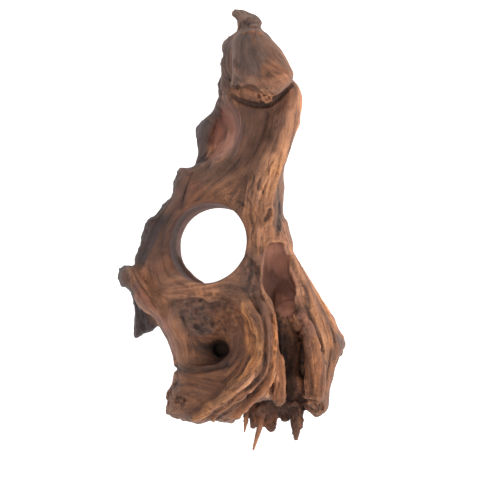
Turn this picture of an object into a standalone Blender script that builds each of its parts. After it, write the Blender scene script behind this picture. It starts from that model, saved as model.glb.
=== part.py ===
"""Porous aquarium driftwood: a weathered root crown with a head burl, bored and carved through.

The wood lies on its back. +X runs to the right, +Y from the broken roots to the head, and +Z up from the
surface that it lies on. The origin is on that surface, under the middle of the piece.

The wood is one grown mass, so it is carved as one block first: lobes with a drawn outline and a thickness,
joined by soft fillets, then ridges laid on and hollows taken out. The drilled bores are Boolean cuts, and the
block is split at its main forks into the objects at the end.
"""

import bpy
import numpy as np
from mathutils import Vector

# Places and sizes are in millimetres, and MM turns them into the scene's metres.
MM = 0.001
GRID = 1.6  # step of the carving grid
TRIANGLES = 6900  # what the carved block keeps before it is bored and split
FORK_GAP = 0.3  # between two pieces that part at a fork
FAR = 60.0  # a distance that stands for open space
REACH = 14.0  # how far round a shape the grid is worked
SPREAD = 17.0  # how far a spot height is felt
CURVE_STEPS = 4  # points on each span of a smooth line
BORE_SIDES = 48  # faces round a bore
SLIGHT = 0.02  # how far inside the wood a filled corner lies, in grid steps

BLOCK_LOW = (-84.0, -156.0, -16.0)
BLOCK_HIGH = (84.0, 156.0, 108.0)

# The round bore runs through the trunk, and leans to the right on its way down.
BORE_RADIUS = 28.0
BORE_TOP = (-15.6, -9.3, 47.0)
BORE_FOOT = (-7.3, -13.9, 8.0)

# The side bore takes a bite out of the neck's left side and stops in the bark behind it.
BITE_RADIUS = 23.0
BITE_TOP = (-16.0, 68.0, 56.0)
BITE_FOOT = (-30.5, 66.7, 28.0)

# The pocket is a blind bore that runs down the right limb and deepens towards the fork.
POCKET_RADIUS = 13.0
POCKET_TOP = (32.0, -28.0, 66.0)
POCKET_FOOT = (40.0, -55.0, 50.0)

# Outlines are seen from above, and run once round each lobe.
TRUNK_OUTLINE = [
    (8, 130), (20, 126), (32, 116), (39, 105), (43, 96), (45.4, 89), (45.8, 83), (43.6, 69),
    (38.4, 55), (36, 44), (35.2, 30), (35.3, 12), (38, 3), (41.3, -10), (42, -30), (36, -52),
    (18, -62), (-8, -62), (-32, -62), (-48, -56), (-58, -46), (-64, -33), (-67.5, -22), (-64.6, -13),
    (-60.5, -2), (-57.6, 6), (-50, 12), (-45, 19), (-41, 25.5), (-39.4, 35), (-35.5, 42.3), (-25.6, 44.2),
    (-21.6, 51), (-22.6, 60), (-24.6, 66), (-23.4, 71), (-12.6, 80.5), (-10.4, 92), (-8, 102), (-7, 109),
    (-8, 114), (-5, 119), (-6.4, 125), (-2, 131),
]
TRUNK_SPOTS = [
    (14, 110, -18, 66), (-4, 108, 10, 62), (25, 90, 8, 60), (42, 84, 20, 58), (2, 80, 8, 56), (-18, 62, -4, 19),
    (-24, 52, -2, 24),
    (15, 62, 12, 55), (36, 62, 16, 57), (12, 40, 14, 56), (30, 34, 18, 61), (-24, 36, 9, 50), (-38, 36, 14, 42),
    (-8, 27, 14, 55), (22, 14, 12, 65), (34, 4, 14, 60), (-44, 4, 8, 46), (-60, -4, 8, 26), (-48, -28, -6, 48),
    (-66, -22, 10, 32), (-15, -44, -2, 62), (16, -26, 6, 69), (34, -30, 4, 64), (-32, -56, 0, 66), (10, -58, 0, 72),
    (36, -50, 0, 62),
]
NUB_OUTLINE = [
    (4.4, 133), (5, 138), (3.4, 143), (0.8, 145.6), (1.6, 149), (4.6, 149.6), (11, 146.8), (17, 145),
    (20.6, 140.8), (19.4, 137), (21, 130), (14, 124), (6, 126),
]
NUB_SPOTS = [(3, 147, 50, 57), (12, 141, 43, 61), (12, 128, 36, 66)]
BURL_OUTLINE = [
    (3, 132), (10, 135.4), (18, 135.2), (25, 131), (31, 125), (35, 120), (38.6, 112), (41.3, 105),
    (40, 99.5), (34.5, 94.5), (28, 88.6), (22, 85.4), (15, 86), (5, 90), (-2.6, 93), (-2.4, 99),
    (0.4, 106), (-0.6, 116), (0.2, 126),
]
BURL_SPOTS = [
    (4, 122, 40, 82), (12, 130, 44, 82), (30, 120, 44, 84), (12, 112, 50, 88), (20, 104, 56, 95), (8, 100, 60, 93),
    (35, 103, 60, 90), (22, 93, 66, 96), (4, 94, 62, 88),
]
KNOB_OUTLINE = [
    (-69.6, -24.2), (-75.6, -25.6), (-77.9, -31), (-76.6, -37), (-71.4, -40.4), (-68.2, -45), (-62, -54),
    (-54, -59), (-49.6, -64.5), (-44, -70), (-42, -60), (-50, -48), (-58, -36), (-64, -27),
]
KNOB_SPOTS = [(-74, -31, 16, 36), (-64, -44, 18, 44), (-53, -58, 18, 54), (-45, -66, 10, 62)]
CUP_OUTLINE = [
    (-46, -71), (-42.6, -79), (-40.3, -88), (-39.6, -96), (-39.8, -104), (-43.2, -110), (-44.4, -117),
    (-45.2, -125), (-40, -128.6), (-30, -131), (-22, -132), (-14, -130), (-3, -131.2), (3, -129),
    (10, -122), (18, -117), (27, -114), (30.5, -106), (30.5, -92), (29.6, -76), (28.4, -62), (24, -48),
    (16, -38), (-4, -34), (-28, -38), (-42, -48), (-49, -62),
]
CUP_SPOTS = [
    (-38, -70, 6, 68), (-32, -88, 4, 66), (-12, -44, 2, 62), (16, -46, 4, 71), (17, -76, 2, 80), (26, -60, 4, 72),
    (28, -90, 14, 74), (-12, -78, -4, 62), (-28, -104, -6, 64), (-38, -122, 22, 56), (-10, -108, 10, 68),
    (10, -104, 12, 75), (-22, -128, 28, 58), (2, -124, 36, 60), (18, -112, 42, 70),
]
FLARE_OUTLINE = [
    (24, 2), (36, 8), (40, -3), (41.8, -10), (41.2, -13.4), (44.5, -19), (52, -31), (60, -44), (67, -56),
    (72, -66), (76.6, -75), (77.8, -79), (74.6, -85.4), (71.4, -91), (69, -101), (66.4, -112), (65.2, -122),
    (62, -126), (57, -128), (53, -124.4), (48.6, -120), (49, -110), (51, -96), (50, -80), (46, -66),
    (38, -58), (24, -54), (18, -40), (17, -18),
]
FLARE_SPOTS = [
    (32, -12, 8, 61), (44, -30, 6, 62), (26, -40, 2, 64), (40, -54, 0, 64), (54, -46, 4, 58), (54, -66, -6, 71), (61, -80, -10, 70),
    (67, -62, 8, 50), (75, -78, 14, 34), (56, -88, -13, 71), (69, -92, 10, 44), (56, -112, 4, 62), (60, -122, 14, 52),
]
BACK_OUTLINE = [
    (-34, -50), (0, -46), (36, -46), (54, -60), (56, -90), (52, -104), (40, -110), (20, -112), (-6, -108),
    (-30, -92),
]
BACK_SPOTS = [(0, -60, 0, 26), (36, -70, 0, 22), (42, -98, 4, 18), (10, -98, 4, 22)]
ROOT_OUTLINE = [
    (9, -104), (22, -98), (38, -98), (48, -106), (48.6, -118), (45, -126), (36, -127), (29, -128),
    (20, -128), (12, -124),
]
ROOT_SPOTS = [(16, -110, 12, 38), (30, -106, 8, 36), (43, -110, 10, 34), (14, -124, 20, 36), (30, -124, 16, 36), (44, -122, 18, 34)]
SPUR_OUTLINE = [
    (-68.6, -42), (-67.6, -56), (-68.2, -68), (-66.4, -74.4), (-60, -70.4), (-54, -68), (-46, -60), (-44, -46),
    (-58, -34),
]
SPUR_SPOTS = [(-66, -46, 6, 26), (-66, -66, 4, 16), (-56, -60, 4, 26), (-48, -52, 2, 30)]

# A strand is a round rib: places along its middle line, each with its radius.
INNER_RIDGE = [
    (3, -42, 64, 4), (9.5, -53, 73, 4.4), (13.6, -64, 79, 4.8), (16, -74, 82, 5), (16, -84, 82, 5),
    (13.6, -93, 81, 4.8), (8.6, -101, 77, 4.4), (0.6, -108.5, 72, 4), (-9, -115.5, 67, 3.8),
    (-18, -122, 61, 3.6), (-25, -127.4, 55, 3.4),
]
MIDDLE_RIDGE = [
    (14, -42, 60, 3), (19.6, -56, 73, 3.4), (23, -68, 78, 3.6), (23.2, -80, 79, 3.6), (21, -91, 78, 3.6), (16.8, -100, 75, 3.4),
    (9.4, -107.8, 71, 3.4), (1.2, -114.8, 66, 3.2), (-7, -122, 60, 3), (-13, -127.6, 54, 3),
]
OUTER_RIDGE = [
    (19, -34, 58, 3), (24.6, -52, 68, 3.2), (27.4, -68, 73, 3.2), (28, -82, 74, 3.4), (27, -94, 74, 3.4),
    (24, -104, 72, 3.4), (18, -112, 68, 3.2), (11, -118.6, 62, 3), (3, -126, 55, 3),
]
DRUMSTICK = [(30, -80, 64, 3), (32, -92, 65, 4), (33, -102, 65, 4.6), (32.6, -110, 63, 4.4), (31, -115, 59, 3.4)]
FLARE_LIP = [(46, -60, 61, 5.4), (52, -70, 63, 6.4), (56, -84, 63, 6.4), (57, -98, 61, 6), (56.6, -112, 57, 5.4)]
NECK_RIDGE = [(36, 92, 46, 9), (34.6, 76, 49, 9.6), (31, 60, 52, 9), (27, 44, 55, 8), (22, 28, 58, 7), (16, 12, 60, 6)]
RIBS = [
    (INNER_RIDGE, 5.0), (MIDDLE_RIDGE, 3.0), (OUTER_RIDGE, 3.0), (DRUMSTICK, 3.0), (FLARE_LIP, 8.0), (NECK_RIDGE, 10.0),
]

# The broken roots end in stubs and splinters.
STUBS = [
    [(11.8, -116, 32, 3), (9.8, -129, 33, 1.9), (8.4, -137.6, 33, 0.9)],
    [(14, -114, 29, 4.4), (14.4, -127, 28, 3.6), (14.4, -134, 27, 2.2)],
    [(20, -120, 34, 2.6), (19, -133, 37, 2.3), (16.6, -142, 38, 1.6), (14.5, -149.8, 38, 1)],
    [(26, -110, 30, 7.4), (26.4, -124, 29, 5.8), (26.6, -134.4, 28, 3.8)],
    [(36, -114, 26, 5.4), (36.4, -127.6, 25, 3.4)],
    [(44, -110, 29, 5.4), (44.4, -126, 30, 3.4), (44.4, -137, 30, 2), (44, -141.8, 30, 0.9)],
    [(47, -112, 27, 2.8), (47.2, -126, 27, 1.8), (47, -133.6, 27, 1)],
]

# Hollows, also as strands. The cup is a wide bowl with a deep hole and a furrow to its left, and the channel
# runs between the two lower lobes.
CUP_BOWL = [(-12, -54, 90, 19), (-9, -66, 86, 24), (-8, -78, 84, 24)]
CUP_HOLE = [(-8, -72, 70, 13), (-7, -78, 56, 10), (-5, -81, 40, 7)]
CUP_FURROW = [(-31, -92, 68, 4), (-22, -84, 62, 6), (-12, -80, 56, 7)]
CHANNEL = [(38, -67, 66, 8.5), (39.4, -78, 58, 10), (40.4, -92, 54, 10), (41, -106, 52, 9), (41, -122, 52, 8)]
CHANNEL_FLOOR = [(38.6, -70, 38, 9), (40, -84, 32, 10), (41, -98, 35, 9.4), (41.6, -116, 48, 8)]
FLARE_CRACK = [(50, -46, 66, 1.6), (54, -58, 69, 2.2), (58.6, -68, 67, 2.6), (61, -80, 64, 2.6), (62.5, -94, 60, 2)]
NECK_TROUGH = [(12, 84, 76, 15), (12, 70, 79, 18), (8, 54, 82, 20), (-2, 42, 86, 20)]
BURL_NOTCH = [
    (-9, 97, 67, 3), (0, 91.4, 68, 4.4), (10, 86.6, 68, 5.4), (20, 83.6, 67, 6), (30, 86, 66, 5.8), (38, 93, 65, 5.2),
    (45, 100, 63, 4),
]
BACK_VALLEY = [(24, -134, -4, 12), (18, -104, -5, 13), (20, -76, -6, 13), (27, -50, -7, 12)]
HOLLOWS = [
    (CUP_BOWL, 6.0), (CUP_HOLE, 9.0), (CUP_FURROW, 6.0), (CHANNEL, 3.0), (CHANNEL_FLOOR, 5.0), (FLARE_CRACK, 2.0), (NECK_TROUGH, 10.0),
    (BURL_NOTCH, 2.5), (BACK_VALLEY, 8.0),
]

# Each piece of the split block is what stands inside a prism: its outline at z = 0, its lowest and highest z, and
# how far it leans in y on the way up.
HEAD_LEAN = -0.258
ZONES = {
    "head_burl": ([(-90, 100), (90, 100), (90, 190), (-90, 190)], -10, 120, HEAD_LEAN),
    "root_stubs": ([(5, -170), (49.5, -170), (49.5, -101), (5, -101)], -10, 43, 0),
    "side_spur": ([(-90, -170), (-47, -170), (-47, -60), (-61, -46), (-90, -46)], -10, 26, 0),
    "trunk": ([(-90, -44), (20, -44), (20, -4), (90, -4), (90, 190), (-90, 190)], -10, 120, 0),
    "cup_lobe": ([(-90, -44), (-90, -170), (39, -170), (39, -84), (31, -60), (20, -44)], -10, 120, 0),
    "root_flare": ([(20, -4), (20, -44), (31, -60), (39, -84), (39, -170), (90, -170), (90, -4)], -10, 120, 0),
}
# The pieces that are cut out of each of the larger ones.
TAKEN_OUT = {
    "trunk": ["head_burl", "side_spur"],
    "cup_lobe": ["root_stubs", "side_spur"],
    "root_flare": ["root_stubs"],
}

# Colour and roughness of each piece's wood.
FINISHES = {
    "head_burl": ((0.235, 0.125, 0.066), 0.78),
    "trunk": ((0.315, 0.165, 0.085), 0.7),
    "cup_lobe": ((0.27, 0.14, 0.072), 0.72),
    "root_flare": ((0.3, 0.152, 0.08), 0.72),
    "root_stubs": ((0.165, 0.07, 0.045), 0.75),
    "side_spur": ((0.085, 0.062, 0.052), 0.85),
}


def smooth_line(points, closed):
    """Points along a Catmull-Rom curve through the given ones, whatever their number of columns."""
    given = np.array(points, float)
    if closed:
        ring = np.vstack([given[-1:], given, given[:2]])
    else:
        ring = np.vstack([2 * given[0] - given[1], given, 2 * given[-1] - given[-2]])
    share = np.arange(CURVE_STEPS)[:, None] / CURVE_STEPS
    spans = []
    for before, start, end, after in zip(ring, ring[1:], ring[2:], ring[3:]):
        spans.append(0.5 * (
            2 * start + (end - before) * share
            + (2 * before - 5 * start + 4 * end - after) * share ** 2
            + (3 * (start - end) + after - before) * share ** 3
        ))
    line = np.vstack(spans)
    return line if closed else np.vstack([line, given[-1]])


class Block:
    """A block of wood as a grid of signed distances, which are negative inside the wood."""

    def __init__(self, low, high, step):
        self.step = step
        self.axes = [np.arange(a, b + step, step, dtype=np.float32) for a, b in zip(low, high)]
        self.field = np.full([len(axis) for axis in self.axes], FAR, np.float32)

    def window(self, low, high):
        """The part of the grid round a box, as slices, and its x, y and z as broadcastable arrays."""
        cut = []
        for axis, a, b in zip(self.axes, low, high):
            first, last = np.searchsorted(axis, (a - REACH, b + REACH))
            cut.append(slice(max(first - 1, 0), last + 1))
        x, y, z = (axis[part] for axis, part in zip(self.axes, cut))
        return tuple(cut), x[:, None, None], y[None, :, None], z[None, None, :]

    def join(self, cut, shape, blend):
        """Adds a shape, with a fillet about as wide as blend."""
        here = self.field[cut]
        share = np.clip(0.5 + 0.5 * (here - shape) / blend, 0, 1)
        self.field[cut] = here + (shape - here) * share - blend * share * (1 - share)

    def remove(self, cut, shape, blend):
        """Takes a shape away, with its edge eased by about blend."""
        here = self.field[cut]
        share = np.clip(0.5 - 0.5 * (here + shape) / blend, 0, 1)
        self.field[cut] = here - (shape + here) * share + blend * share * (1 - share)


def outline_distance(outline, x, y):
    """Signed distance from each place on a flat grid to a closed outline, negative inside."""
    corners = smooth_line(outline, closed=True)
    nearest = np.full(np.broadcast(x, y).shape, FAR ** 2)
    inside = np.zeros(nearest.shape, bool)
    for (ax, ay), (bx, by) in zip(corners, np.roll(corners, -1, axis=0)):
        dx, dy = bx - ax, by - ay
        along = np.clip(((x - ax) * dx + (y - ay) * dy) / (dx * dx + dy * dy), 0, 1)
        nearest = np.minimum(nearest, (x - ax - along * dx) ** 2 + (y - ay - along * dy) ** 2)
        if ay != by:
            inside ^= ((ay > y) != (by > y)) & (x < ax + (y - ay) * dx / dy)
    return np.where(inside, -1, 1) * np.sqrt(nearest)


def spot_heights(spots, x, y):
    """The back and the front of a lobe, as smooth maps through its spot heights."""
    total, back, front = 1e-9, 0.0, 0.0
    for sx, sy, low, high in spots:
        weight = np.exp(-((x - sx) ** 2 + (y - sy) ** 2) / (2 * SPREAD ** 2)) + 1e-9
        total, back, front = total + weight, back + weight * low, front + weight * high
    return back / total, front / total


def add_lobe(block, outline, spots, edge, blend):
    """Grows a lobe with that outline and those heights, its edge rounded over a width of edge."""
    flat = np.array(outline, float)
    tall = np.array(spots, float)
    cut, x, y, z = block.window((*flat.min(0), tall[:, 2].min()), (*flat.max(0), tall[:, 3].max()))
    back, front = spot_heights(spots, x, y)
    middle, half = (back + front) / 2, (front - back) / 2
    inward = 1 - np.minimum(-outline_distance(outline, x, y) / edge, 1)
    upward = (np.abs(z - middle) + 0.01) / half
    radius = np.sqrt(inward ** 2 + upward ** 2)
    slope = np.sqrt((inward / edge) ** 2 + (upward / half) ** 2)
    block.join(cut, ((radius - 1) * radius / slope).astype(np.float32), blend)


def strand_distance(strand, x, y, z):
    """Distance to a round rib of changing radius."""
    line = smooth_line(strand, closed=False)
    nearest = np.float32(FAR)
    for (ax, ay, az, ar), (bx, by, bz, br) in zip(line, line[1:]):
        dx, dy, dz = bx - ax, by - ay, bz - az
        along = np.clip(((x - ax) * dx + (y - ay) * dy + (z - az) * dz) / (dx * dx + dy * dy + dz * dz), 0, 1)
        apart = (x - ax - along * dx) ** 2 + (y - ay - along * dy) ** 2 + (z - az - along * dz) ** 2
        nearest = np.minimum(nearest, np.sqrt(apart) - ar - along * (br - ar))
    return nearest


def strand_window(block, strand):
    """The window round a strand."""
    places = np.array(strand, float)
    thick = places[:, 3].max()
    return block.window(places[:, :3].min(0) - thick, places[:, :3].max(0) + thick)


def add_rib(block, strand, blend):
    """Lays a rib on the wood."""
    cut, x, y, z = strand_window(block, strand)
    block.join(cut, strand_distance(strand, x, y, z), blend)


def add_hollow(block, strand, blend):
    """Takes a rounded hollow out of the wood."""
    cut, x, y, z = strand_window(block, strand)
    block.remove(cut, strand_distance(strand, x, y, z), blend)


def carve_block():
    """The whole piece of wood, before it is bored."""
    block = Block(BLOCK_LOW, BLOCK_HIGH, GRID)
    add_lobe(block, TRUNK_OUTLINE, TRUNK_SPOTS, 20.0, 1.0)
    add_lobe(block, NUB_OUTLINE, NUB_SPOTS, 7.0, 5.0)
    add_lobe(block, BACK_OUTLINE, BACK_SPOTS, 12.0, 8.0)
    add_lobe(block, CUP_OUTLINE, CUP_SPOTS, 15.0, 8.0)
    add_lobe(block, FLARE_OUTLINE, FLARE_SPOTS, 14.0, 6.0)
    add_lobe(block, SPUR_OUTLINE, SPUR_SPOTS, 9.0, 4.0)
    add_lobe(block, KNOB_OUTLINE, KNOB_SPOTS, 7.0, 5.0)
    add_lobe(block, ROOT_OUTLINE, ROOT_SPOTS, 9.0, 6.0)
    add_lobe(block, BURL_OUTLINE, BURL_SPOTS, 13.0, 8.0)
    for strand, blend in RIBS:
        add_rib(block, strand, blend)
    for strand in STUBS:
        add_rib(block, strand, 3.0)
    for strand, blend in HOLLOWS:
        add_hollow(block, strand, blend)
    return block


def stretch(array, start, shape):
    """The part of a grid that begins at a place and has that shape."""
    return array[tuple(slice(first, first + count) for first, count in zip(start, shape))]


def settle_corners(field, step):
    """Fills the grid squares whose wood meets only at two corners, which would give edges with four faces."""
    crossed_any = True
    while crossed_any:
        wood = field < 0
        crossed_any = False
        for flat in (0, 1, 2):
            one, two = (axis for axis in range(3) if axis != flat)
            shape = [count - (axis != flat) for axis, count in enumerate(field.shape)]
            starts = {}
            for a in (0, 1):
                for b in (0, 1):
                    start = [0, 0, 0]
                    start[one], start[two] = a, b
                    starts[a, b] = start
            full = {key: stretch(wood, start, shape) for key, start in starts.items()}
            crossed = (full[0, 0] == full[1, 1]) & (full[0, 1] == full[1, 0]) & (full[0, 0] != full[0, 1])
            if crossed.any():
                crossed_any = True
                for start in starts.values():
                    part = stretch(field, start, shape)
                    part[crossed & (part >= 0)] = -SLIGHT * step


def skin_of(block):
    """Points and four-sided faces of the block's surface, by surface nets."""
    field = block.field
    settle_corners(field, block.step)
    wood = field < 0
    shape = [count - 1 for count in field.shape]
    corners = [(a, b, c) for a in (0, 1) for b in (0, 1) for c in (0, 1)]
    filled = sum(stretch(wood, corner, shape).astype(int) for corner in corners)
    cells = np.argwhere((filled > 0) & (filled < len(corners)))
    number = np.full(shape, -1)
    number[tuple(cells.T)] = np.arange(len(cells))

    # Each crossed cell gets one point, at the mean of where its edges cross the surface.
    total = np.zeros((len(cells), 3))
    count = np.zeros(len(cells))
    for first in corners:
        for axis in range(3):
            if first[axis]:
                continue
            second = list(first)
            second[axis] = 1
            here = field[tuple((cells + first).T)].astype(float)
            there = field[tuple((cells + second).T)].astype(float)
            crossed = (here < 0) != (there < 0)
            place = np.tile(np.array(first, float), (len(cells), 1))
            place[crossed, axis] += here[crossed] / (here[crossed] - there[crossed])
            total[crossed] += place[crossed]
            count += crossed
    points = (cells + total / count[:, None]) * block.step + [axis[0] for axis in block.axes]

    # Each crossed grid edge gets one face, between the four cells round it.
    faces = []
    for axis in range(3):
        along = np.eye(3, dtype=int)[axis]
        one, two = (np.eye(3, dtype=int)[other] for other in range(3) if other != axis)
        lines = [size - step for size, step in zip(field.shape, along)]
        start, end = stretch(wood, (0, 0, 0), lines), stretch(wood, along, lines)
        for leaving, ends in ((True, start & ~end), (False, end & ~start)):
            base = np.argwhere(ends)
            ring = [base - one - two, base - two, base, base - one]
            face = np.stack([number[tuple(corner.T)] for corner in ring], axis=1)
            faces.append(face if leaving == (axis != 1) else face[:, ::-1])
    return points, np.vstack(faces)


def new_object(name, points, faces):
    """A mesh object in the scene, from places in millimetres."""
    mesh = bpy.data.meshes.new(name)
    mesh.from_pydata([(x * MM, y * MM, z * MM) for x, y, z in points], [], faces)
    thing = bpy.data.objects.new(name, mesh)
    bpy.context.scene.collection.objects.link(thing)
    return thing


def hide_cutter(cutter):
    """Keeps a cutter out of the render."""
    cutter.hide_render = True
    cutter.display_type = "WIRE"


def prism(name, outline, low, high, lean, grow):
    """A cutter with upright or leaning sides, each face moved outwards by grow."""
    corners = [Vector(corner) for corner in outline]
    turns = sum(a.x * b.y - b.x * a.y for a, b in zip(corners, corners[1:] + corners[:1]))
    if turns < 0:
        corners.reverse()
    moved = []
    for before, corner, after in zip(corners[-1:] + corners[:-1], corners, corners[1:] + corners[:1]):
        one = (corner - before).normalized()
        two = (after - corner).normalized()
        out_one, out_two = Vector((one.y, -one.x)), Vector((two.y, -two.x))
        moved.append(corner + (out_one + out_two) * grow / (1 + out_one.dot(out_two)))
    count = len(moved)
    points = [(c.x, c.y + lean * z, z) for z in (low - grow, high + grow) for c in moved]
    sides = [(i, (i + 1) % count, count + (i + 1) % count, count + i) for i in range(count)]
    faces = [tuple(range(count))[::-1], tuple(range(count, 2 * count))] + sides
    cutter = new_object(name, points, faces)
    hide_cutter(cutter)
    return cutter


def round_cutter(name, top, foot, radius, past_top, past_foot):
    """A cylinder along the line between two places, run on past them."""
    top, foot = Vector(top), Vector(foot)
    up = (top - foot).normalized()
    top, foot = top + up * past_top, foot - up * past_foot
    turn = up.to_track_quat("Z", "Y")
    rings = []
    for centre in (foot, top):
        for i in range(BORE_SIDES):
            angle = 2 * np.pi * i / BORE_SIDES
            rings.append(centre + turn @ Vector((radius * np.cos(angle), radius * np.sin(angle), 0)))
    ring = range(BORE_SIDES)
    sides = [(i, (i + 1) % BORE_SIDES, BORE_SIDES + (i + 1) % BORE_SIDES, BORE_SIDES + i) for i in ring]
    faces = [tuple(ring)[::-1], tuple(i + BORE_SIDES for i in ring)] + sides
    cutter = new_object(name, rings, faces)
    hide_cutter(cutter)
    return cutter


def cut_with(thing, cutter, operation):
    """Adds a Boolean to an object."""
    cut = thing.modifiers.new(cutter.name, "BOOLEAN")
    cut.operation = operation
    cut.solver = "EXACT"
    cut.object = cutter


def settled(thing):
    """The mesh that an object's modifiers give."""
    graph = bpy.context.evaluated_depsgraph_get()
    return bpy.data.meshes.new_from_object(thing.evaluated_get(graph))


def finish(name):
    """The wood of one piece."""
    colour, roughness = FINISHES[name]
    material = bpy.data.materials.new(name + "_wood")
    material.use_nodes = True
    surface = material.node_tree.nodes["Principled BSDF"]
    surface.inputs["Base Color"].default_value = (*colour, 1)
    surface.inputs["Roughness"].default_value = roughness
    surface.inputs["Metallic"].default_value = 0
    return material


def build():
    """Carves the wood, bores it, and splits it at its forks."""
    for thing in list(bpy.data.objects):
        bpy.data.objects.remove(thing)
    points, faces = skin_of(carve_block())
    block = new_object("block", points, faces.tolist())
    fewer = block.modifiers.new("fewer", "DECIMATE")
    fewer.ratio = TRIANGLES / (2 * len(faces))
    cutters = [
        round_cutter("bore", BORE_TOP, BORE_FOOT, BORE_RADIUS, 60, 30),
        round_cutter("bite", BITE_TOP, BITE_FOOT, BITE_RADIUS, 12, 0),
        round_cutter("pocket", POCKET_TOP, POCKET_FOOT, POCKET_RADIUS, 20, 0),
        prism("floor", [(-120, -180), (120, -180), (120, 180), (-120, 180)], -40, 0, 0, 0),
    ]
    for cutter in cutters:
        cut_with(block, cutter, "DIFFERENCE")
    bored = settled(block)
    bpy.data.objects.remove(block)
    for name, (outline, low, high, lean) in ZONES.items():
        piece = bpy.data.objects.new(name, bored.copy())
        bpy.context.scene.collection.objects.link(piece)
        cut_with(piece, prism(name + "_zone", outline, low, high, lean, -FORK_GAP / 2), "INTERSECT")
        for other in TAKEN_OUT.get(name, []):
            cutter = prism(f"{name}_less_{other}", *ZONES[other], FORK_GAP / 2)
            cut_with(piece, cutter, "DIFFERENCE")
        piece.data.materials.append(finish(name))


build()
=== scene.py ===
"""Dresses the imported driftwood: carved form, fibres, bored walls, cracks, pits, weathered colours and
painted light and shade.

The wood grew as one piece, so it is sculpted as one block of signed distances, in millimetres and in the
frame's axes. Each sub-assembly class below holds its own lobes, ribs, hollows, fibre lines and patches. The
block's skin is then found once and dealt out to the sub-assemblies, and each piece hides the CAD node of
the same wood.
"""

import logging
from collections.abc import Iterator, Sequence
from dataclasses import dataclass, field
from enum import Enum
from typing import Any

import bpy
import numpy as np
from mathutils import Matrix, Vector


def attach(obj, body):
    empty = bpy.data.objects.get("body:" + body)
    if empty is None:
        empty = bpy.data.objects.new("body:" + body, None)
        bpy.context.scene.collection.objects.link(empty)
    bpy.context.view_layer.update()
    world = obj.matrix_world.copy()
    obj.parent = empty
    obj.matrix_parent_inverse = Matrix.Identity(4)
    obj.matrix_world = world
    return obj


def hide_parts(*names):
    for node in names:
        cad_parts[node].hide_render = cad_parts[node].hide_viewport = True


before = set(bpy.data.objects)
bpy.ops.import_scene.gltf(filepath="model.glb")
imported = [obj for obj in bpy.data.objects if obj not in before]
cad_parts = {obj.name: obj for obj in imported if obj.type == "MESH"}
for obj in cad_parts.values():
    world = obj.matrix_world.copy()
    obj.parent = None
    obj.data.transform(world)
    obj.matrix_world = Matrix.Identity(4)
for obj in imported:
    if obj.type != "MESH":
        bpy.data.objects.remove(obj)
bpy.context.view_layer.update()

logging.basicConfig(level=logging.INFO, format="%(message)s")
log = logging.getLogger("driftwood")

Array = np.ndarray
Row = tuple[float, ...]
Cut = tuple[slice, ...]

MM = 0.001
STEP = 0.68  # side of a carving cell
FAR = 60.0  # a distance that stands for open space
SPREAD = 17.0  # how far a spot height is felt
CURVE_STEPS = 5  # points on each span of a smooth line
SLIGHT = 0.02  # how far inside the wood a filled corner lies, in cells
MARGIN = 2.0  # how much wider a window is than what it has to hold
BLEND_REACH = 1.3  # how far a fillet is felt, in its own widths
OFF_MIDDLE = 0.01  # keeps a lobe's middle plane apart from its axis
FRAY = 0.3  # how ragged the edge of a patch is
TINY = 1e-9  # added to a divisor that could be zero
FAINT = 1e-6  # the same beside numbers of single precision
BLOCK_LOW = (-84.0, -156.0, -3.0)
BLOCK_HIGH = (84.0, 156.0, 100.0)


class Tool(Enum):
    """What a shape does to the block."""

    ADD = "add"
    CARVE = "carve"


class Look(Enum):
    """What a patch of wood can have: a wear or a hue of its own, and painted light and shade. Called, a look
    gives the patch.
    """

    def __call__(self, places: Sequence[Row], fade: float = 4.0, strength: float = 1.0) -> "Patch":
        """A patch along those places, with this look."""
        return Patch(self, places, fade, strength)


class Feel(Look):
    """How a patch of wood is worn."""

    RUGGED = "rugged"  # deep fibres
    CALM = "calm"  # rubbed smooth
    CRUMBLED = "crumbled"  # lumps and pits
    SAWN = "sawn"  # cut smooth across the fibres


class Tone(Look):
    """A hue, as what it multiplies the bare wood's red, green and blue by. Several also paint light and
    shade, as noted.
    """

    # Dark bark, which on the left flank also paints the shade of sides turned from the key lamp.
    BARK = (0.50, 0.64, 0.92)
    # Blue-black bark, which on the left flank, the fin, the knob and the spur also paints shade.
    INK = (0.26, 0.40, 0.72)
    # Blue-grey, which on the burl's upper left and in the neck's trough also paints shade.
    SLATE = (0.62, 0.86, 1.22)
    # Greyish purple, which on the left flank also paints shade.
    DUSK = (0.60, 0.62, 0.72)
    # Dark brown, which under the burl, in the neck's trough, on the stubs, in the cup's hole, on the great
    # bore's wall and in the pocket also paints shade.
    UMBER = (0.60, 0.52, 0.48)
    # Reddish brown, which on the great bore's wall, in the pocket and on the stubs under the chin also paints
    # shade.
    RUST = (0.62, 0.47, 0.36)
    # Painted shade: darkens hollows, pits, cracks, grooves, undersides and sides turned from the lamps.
    PAINTED_SHADE = (0.28, 0.25, 0.25)
    ROSE = (1.05, 0.85, 0.90)
    AMBER = (1.00, 0.86, 0.68)
    ORANGE = (1.25, 0.95, 0.65)
    # Tan, which on the bite's wall, the burl's foot and the pocket's end also paints light.
    TAN = (1.35, 1.20, 1.05)
    # Gold, which on the neck's right edge and the pocket's right wall also paints light.
    GOLD = (1.75, 1.60, 1.15)
    ASH = (1.05, 1.20, 1.50)
    # Pale, which on the bite's edge, the great bore's left rim, the crescent under the bore and the pocket's
    # walls also paints light.
    PALE = (1.70, 1.60, 1.45)
    # Golden wood with painted light, on lit edges, ridge crests and the gold band's shaded slope.
    GOLD_AND_PAINTED_LIGHT = (2.40, 2.00, 1.25)
    # Painted light: brightens lit edges and ridges, and walls that lie in a lamp's shadow.
    PAINTED_LIGHT = (2.30, 2.30, 2.20)


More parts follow.
